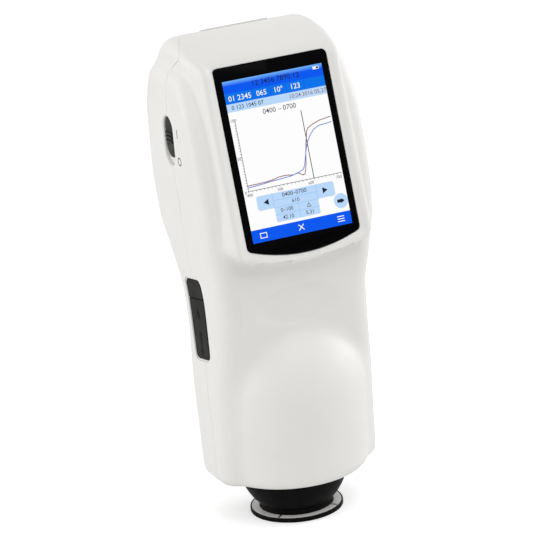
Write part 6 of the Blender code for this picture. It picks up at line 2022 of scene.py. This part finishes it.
# Makers
class COLORIMETER_OT_shells(Operator):
    """Makes the two white shells, with the sunk lip round the port cover"""

    bl_idname = "colorimeter.shells"
    bl_label = "Make the shells"

    def execute(self, context):
        settings = context.scene.colorimeter_housing
        look = moulded("White moulding", tuple(settings.colour), settings.roughness)
        add_piece("front_housing", front_housing(settings), look, ("front_shell",))
        add_piece("rear_housing", rear_housing(settings), look, ("rear_shell",))
        return {"FINISHED"}


class COLORIMETER_OT_screen(Operator):
    """Makes the cover glass with the lit picture in it"""

    bl_idname = "colorimeter.screen"
    bl_label = "Make the screen"

    def execute(self, context):
        settings = context.scene.colorimeter_screen
        outline = glass_outline()
        eased = settings.edge * EASE_SHARE
        pane = loft(SCREEN_PLANE, (
            (outline, -GLASS_BACK_DEPTH),
            (outline, -GLASS_FRONT_DEPTH - settings.edge),
            (grown(outline, -eased), -GLASS_FRONT_DEPTH - eased),
            (grown(outline, -settings.edge), -GLASS_FRONT_DEPTH),
        ))
        glass = glossy("Cover glass", tuple(settings.glass_colour), 0.05, GLASS_SHINE)
        add_piece("cover_glass", pane, glass, ("screen_glass",))
        lit = lit_picture("Lit picture", settings.brightness)
        add_piece("lit_picture", draw_screen(), lit, ())
        return {"FINISHED"}


class COLORIMETER_OT_nose(Operator):
    """Makes the black nose and the locating plate with its lines"""

    bl_idname = "colorimeter.nose"
    bl_label = "Make the nose and the plate"

    def execute(self, context):
        settings = context.scene.colorimeter_nose
        black = moulded("Black moulding", tuple(settings.colour), 0.42, specular=NOSE_SHINE)
        face = moulded("Plate face", tuple(settings.face_colour), 0.36, depth=GRAIN_DEPTH / 3)
        ink = moulded("Line ink", shade(tuple(settings.colour), 1.5), 0.55)
        add_piece("nose_cap", nose_body(), black, ("nose_dome",))
        add_piece("plate_ring", plate_body(), black, ("locating_plate",))
        add_piece("plate_face", face_body(), face, ("locating_face",))
        clip = NOSE_NECK_RADIUS + FIT_GAP + CLIP_WALL + FIT_GAP
        far = PLATE_RADIUS - FACE_MARGIN - FIT_GAP
        for index in range(PLATE_LINES):
            angle = settings.line_turn + 2 * math.pi / PLATE_LINES * index
            turn = Matrix.Rotation(angle, 4, "Z")
            bar = shifted(rectangle(far - clip, settings.line_width), (far + clip) / 2, 0.0)
            line = prism(turn, bar, PLATE_HEIGHT - INK_HEIGHT, PLATE_HEIGHT + INK_HEIGHT)
            add_piece("plate_line_" + str(index + 1), line, ink, ())
        return {"FINISHED"}


class COLORIMETER_OT_power_switch(Operator):
    """Makes the slider of the power switch and its on and off marks"""

    bl_idname = "colorimeter.power_switch"
    bl_label = "Make the power switch"

    def execute(self, context):
        settings = context.scene.colorimeter_switch
        white = moulded("Switch bezel", tuple(context.scene.colorimeter_housing.colour), 0.45)
        grey = moulded("Slider moulding", tuple(settings.colour), 0.50, specular=SLIDER_SHINE)
        ink = moulded("Mark ink", tuple(settings.mark_colour), 0.55)
        add_piece("switch_bezel", bezel_body(), white, ("switch_plate",))
        body = body_of(frame["nodes"]["power_slider"])[0]
        slider = add_piece("slider_cap", slider_body(), grey, ("power_slider",), body)
        ease_edges(slider, RIB_EASE, 2)
        size = settings.mark_size
        bar = divided(rectangle(MARK_STROKE, size))
        on = Vector((MARK_ACROSS, ON_MARK_RISE))
        off = Vector((MARK_ACROSS, OFF_MARK_RISE))
        mark = skin_plate(SWITCH_PLANE, shifted(bar, *on), INK_HEIGHT, -INK_HEIGHT)
        add_piece("on_mark", mark, ink, ())
        ring = shifted(oval(size, size, SLOT_STEPS), *off)
        inside = oval(size - 2 * MARK_STROKE, size - 2 * MARK_STROKE, SLOT_STEPS)
        mark = skin_band(SWITCH_PLANE, ring, shifted(inside, *off), INK_HEIGHT)
        add_piece("off_mark", mark, ink, ())
        return {"FINISHED"}


class COLORIMETER_OT_port_cover(Operator):
    """Makes the rubber cover over the ports, with its fixed tab and its flap"""

    bl_idname = "colorimeter.port_cover"
    bl_label = "Make the port cover"

    def execute(self, context):
        settings = context.scene.colorimeter_ports
        look = rubber("Cover rubber", tuple(settings.colour))
        dark = rubber("Sign rubber", shade(tuple(settings.colour), 0.45))
        tab, flap = cover_outlines()
        add_piece("cover_tab", cover_body(tab), look, ("port_cover_tab",))
        body = body_of(frame["nodes"]["port_cover_flap"])[0]
        add_piece("cover_flap", cover_body(flap), look, ("port_cover_flap",), body)
        for index, outline in enumerate(sign_outlines()):
            sign = skin_plate(COVER_PLANE, outline, settings.sign_depth, -settings.sign_depth)
            add_piece("cover_sign_" + str(index + 1), sign, dark, (), body)
        return {"FINISHED"}


class COLORIMETER_OT_rear(Operator):
    """Makes the measuring key and the battery cover on the back"""

    bl_idname = "colorimeter.rear"
    bl_label = "Make the key and the battery cover"

    def execute(self, context):
        settings = context.scene.colorimeter_rear
        grey = moulded("Key moulding", tuple(settings.key_colour), 0.48)
        white = moulded("Cover moulding", tuple(context.scene.colorimeter_housing.colour), 0.45)
        body = body_of(frame["nodes"]["measuring_key"])[0]
        add_piece("key_cap", key_body(), grey, ("measuring_key",), body)
        body = body_of(frame["nodes"]["battery_cover"])[0]
        inner = DOOR_PROUD - DOOR_THICKNESS
        half = DOOR_WIDTH / 2
        cover = wrap_solid(half, DOOR_BOTTOM_Z, SEAM_GAP / 2, DOOR_PROUD, inner, DOOR_CORNER)
        lid = add_piece("cover_lid", cover, white, ("battery_cover",), body)
        ease_edges(lid, settings.edge, 3)
        return {"FINISHED"}


class COLORIMETER_OT_inside(Operator):
    """Gives the pieces inside the housing their finishes"""

    bl_idname = "colorimeter.inside"
    bl_label = "Finish the pieces inside"

    def execute(self, context):
        white = tuple(context.scene.colorimeter_housing.colour)
        looks = {
            "housing_white": moulded("Inner white moulding", white, 0.5),
            "black_plastic": moulded("Inner black moulding", (0.014, 0.014, 0.014), 0.5),
            "dark_grey_plastic": moulded("Inner grey moulding", (0.05, 0.05, 0.048), 0.55),
            "dark_rubber": rubber("Inner rubber", (0.04, 0.04, 0.037)),
            "screen_glass": glossy("Panel face", (0.008, 0.008, 0.010), 0.12, PANEL_SHINE),
            "lens_glass": clear_glass("Lens glass", (0.94, 0.97, 0.97)),
            "diffuser_white": moulded(
                "Sphere coating", (0.90, 0.90, 0.885), 0.9, specular=SPHERE_SHINE
            ),
            "circuit_board": circuit_board(
                "Circuit board", (0.018, 0.125, 0.050), (0.62, 0.50, 0.24)
            ),
            "lamp": glossy("Lamp cover", (0.86, 0.78, 0.42), 0.2, LAMP_SHINE),
            "battery_wrap": shrink_wrap("Battery wrap", (0.030, 0.085, 0.30)),
            "steel": metal("Plated steel", (0.62, 0.62, 0.61), 0.28),
        }
        for name, node in frame["nodes"].items():
            if node.hide_render:
                continue
            look = looks[slot_of(name)]
            node.data.materials.clear()
            node.data.materials.append(look)
        return {"FINISHED"}


class COLORIMETER_OT_stage(Operator):
    """Makes the floor, the lamps, the room light and the camera"""

    bl_idname = "colorimeter.stage"
    bl_label = "Make the stage"

    def execute(self, context):
        settings = context.scene.colorimeter_stage
        make_floor(settings)
        make_room(context.scene, settings)
        make_lamp("Key lamp", KEY_LAMP_PLACE, settings.key, KEY_LAMP_SIZE)
        make_lamp("Fill lamp", FILL_LAMP_PLACE, settings.fill, FILL_LAMP_SIZE)
        make_lamp("Top lamp", TOP_LAMP_PLACE, settings.top, TOP_LAMP_SIZE)
        make_camera(context.scene)
        context.scene.view_settings.view_transform = "Standard"
        return {"FINISHED"}


class COLORIMETER_PT_sidebar(Panel):
    """Lists the makers and their settings"""

    bl_label = "Colorimeter"
    bl_idname = "COLORIMETER_PT_sidebar"
    bl_space_type = "VIEW_3D"
    bl_region_type = "UI"
    bl_category = "Colorimeter"

    def draw(self, context):
        for group, operator in STEPS:
            box = self.layout.box()
            if group:
                settings = getattr(context.scene, group)
                for key in settings.__annotations__:
                    box.prop(settings, key)
            box.operator(operator)


GROUPS = {
    "colorimeter_housing": HousingSettings,
    "colorimeter_screen": ScreenSettings,
    "colorimeter_nose": NoseSettings,
    "colorimeter_switch": SwitchSettings,
    "colorimeter_ports": PortSettings,
    "colorimeter_rear": RearSettings,
    "colorimeter_stage": StageSettings,
}
STEPS = (
    ("colorimeter_housing", "colorimeter.shells"),
    ("colorimeter_screen", "colorimeter.screen"),
    ("colorimeter_nose", "colorimeter.nose"),
    ("colorimeter_switch", "colorimeter.power_switch"),
    ("colorimeter_ports", "colorimeter.port_cover"),
    ("colorimeter_rear", "colorimeter.rear"),
    ("", "colorimeter.inside"),
    ("colorimeter_stage", "colorimeter.stage"),
)
CLASSES = (
    *GROUPS.values(),
    COLORIMETER_OT_shells,
    COLORIMETER_OT_screen,
    COLORIMETER_OT_nose,
    COLORIMETER_OT_power_switch,
    COLORIMETER_OT_port_cover,
    COLORIMETER_OT_rear,
    COLORIMETER_OT_inside,
    COLORIMETER_OT_stage,
    COLORIMETER_PT_sidebar,
)


def register():
    for item in CLASSES:
        bpy.utils.register_class(item)
    for name, group in GROUPS.items():
        setattr(bpy.types.Scene, name, PointerProperty(type=group))


def unregister():
    for name in GROUPS:
        delattr(bpy.types.Scene, name)
    for item in reversed(CLASSES):
        bpy.utils.unregister_class(item)


def corners(bounds):
    return [list(map(float, corner)) for corner in bounds]


def main():
    cad_box = corners(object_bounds())
    register()
    for _, operator in STEPS:
        family, name = operator.split(".")
        getattr(getattr(bpy.ops, family), name)()
    {"cad": cad_box, "visual": corners(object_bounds())}


if __name__ == "__main__":
    main()
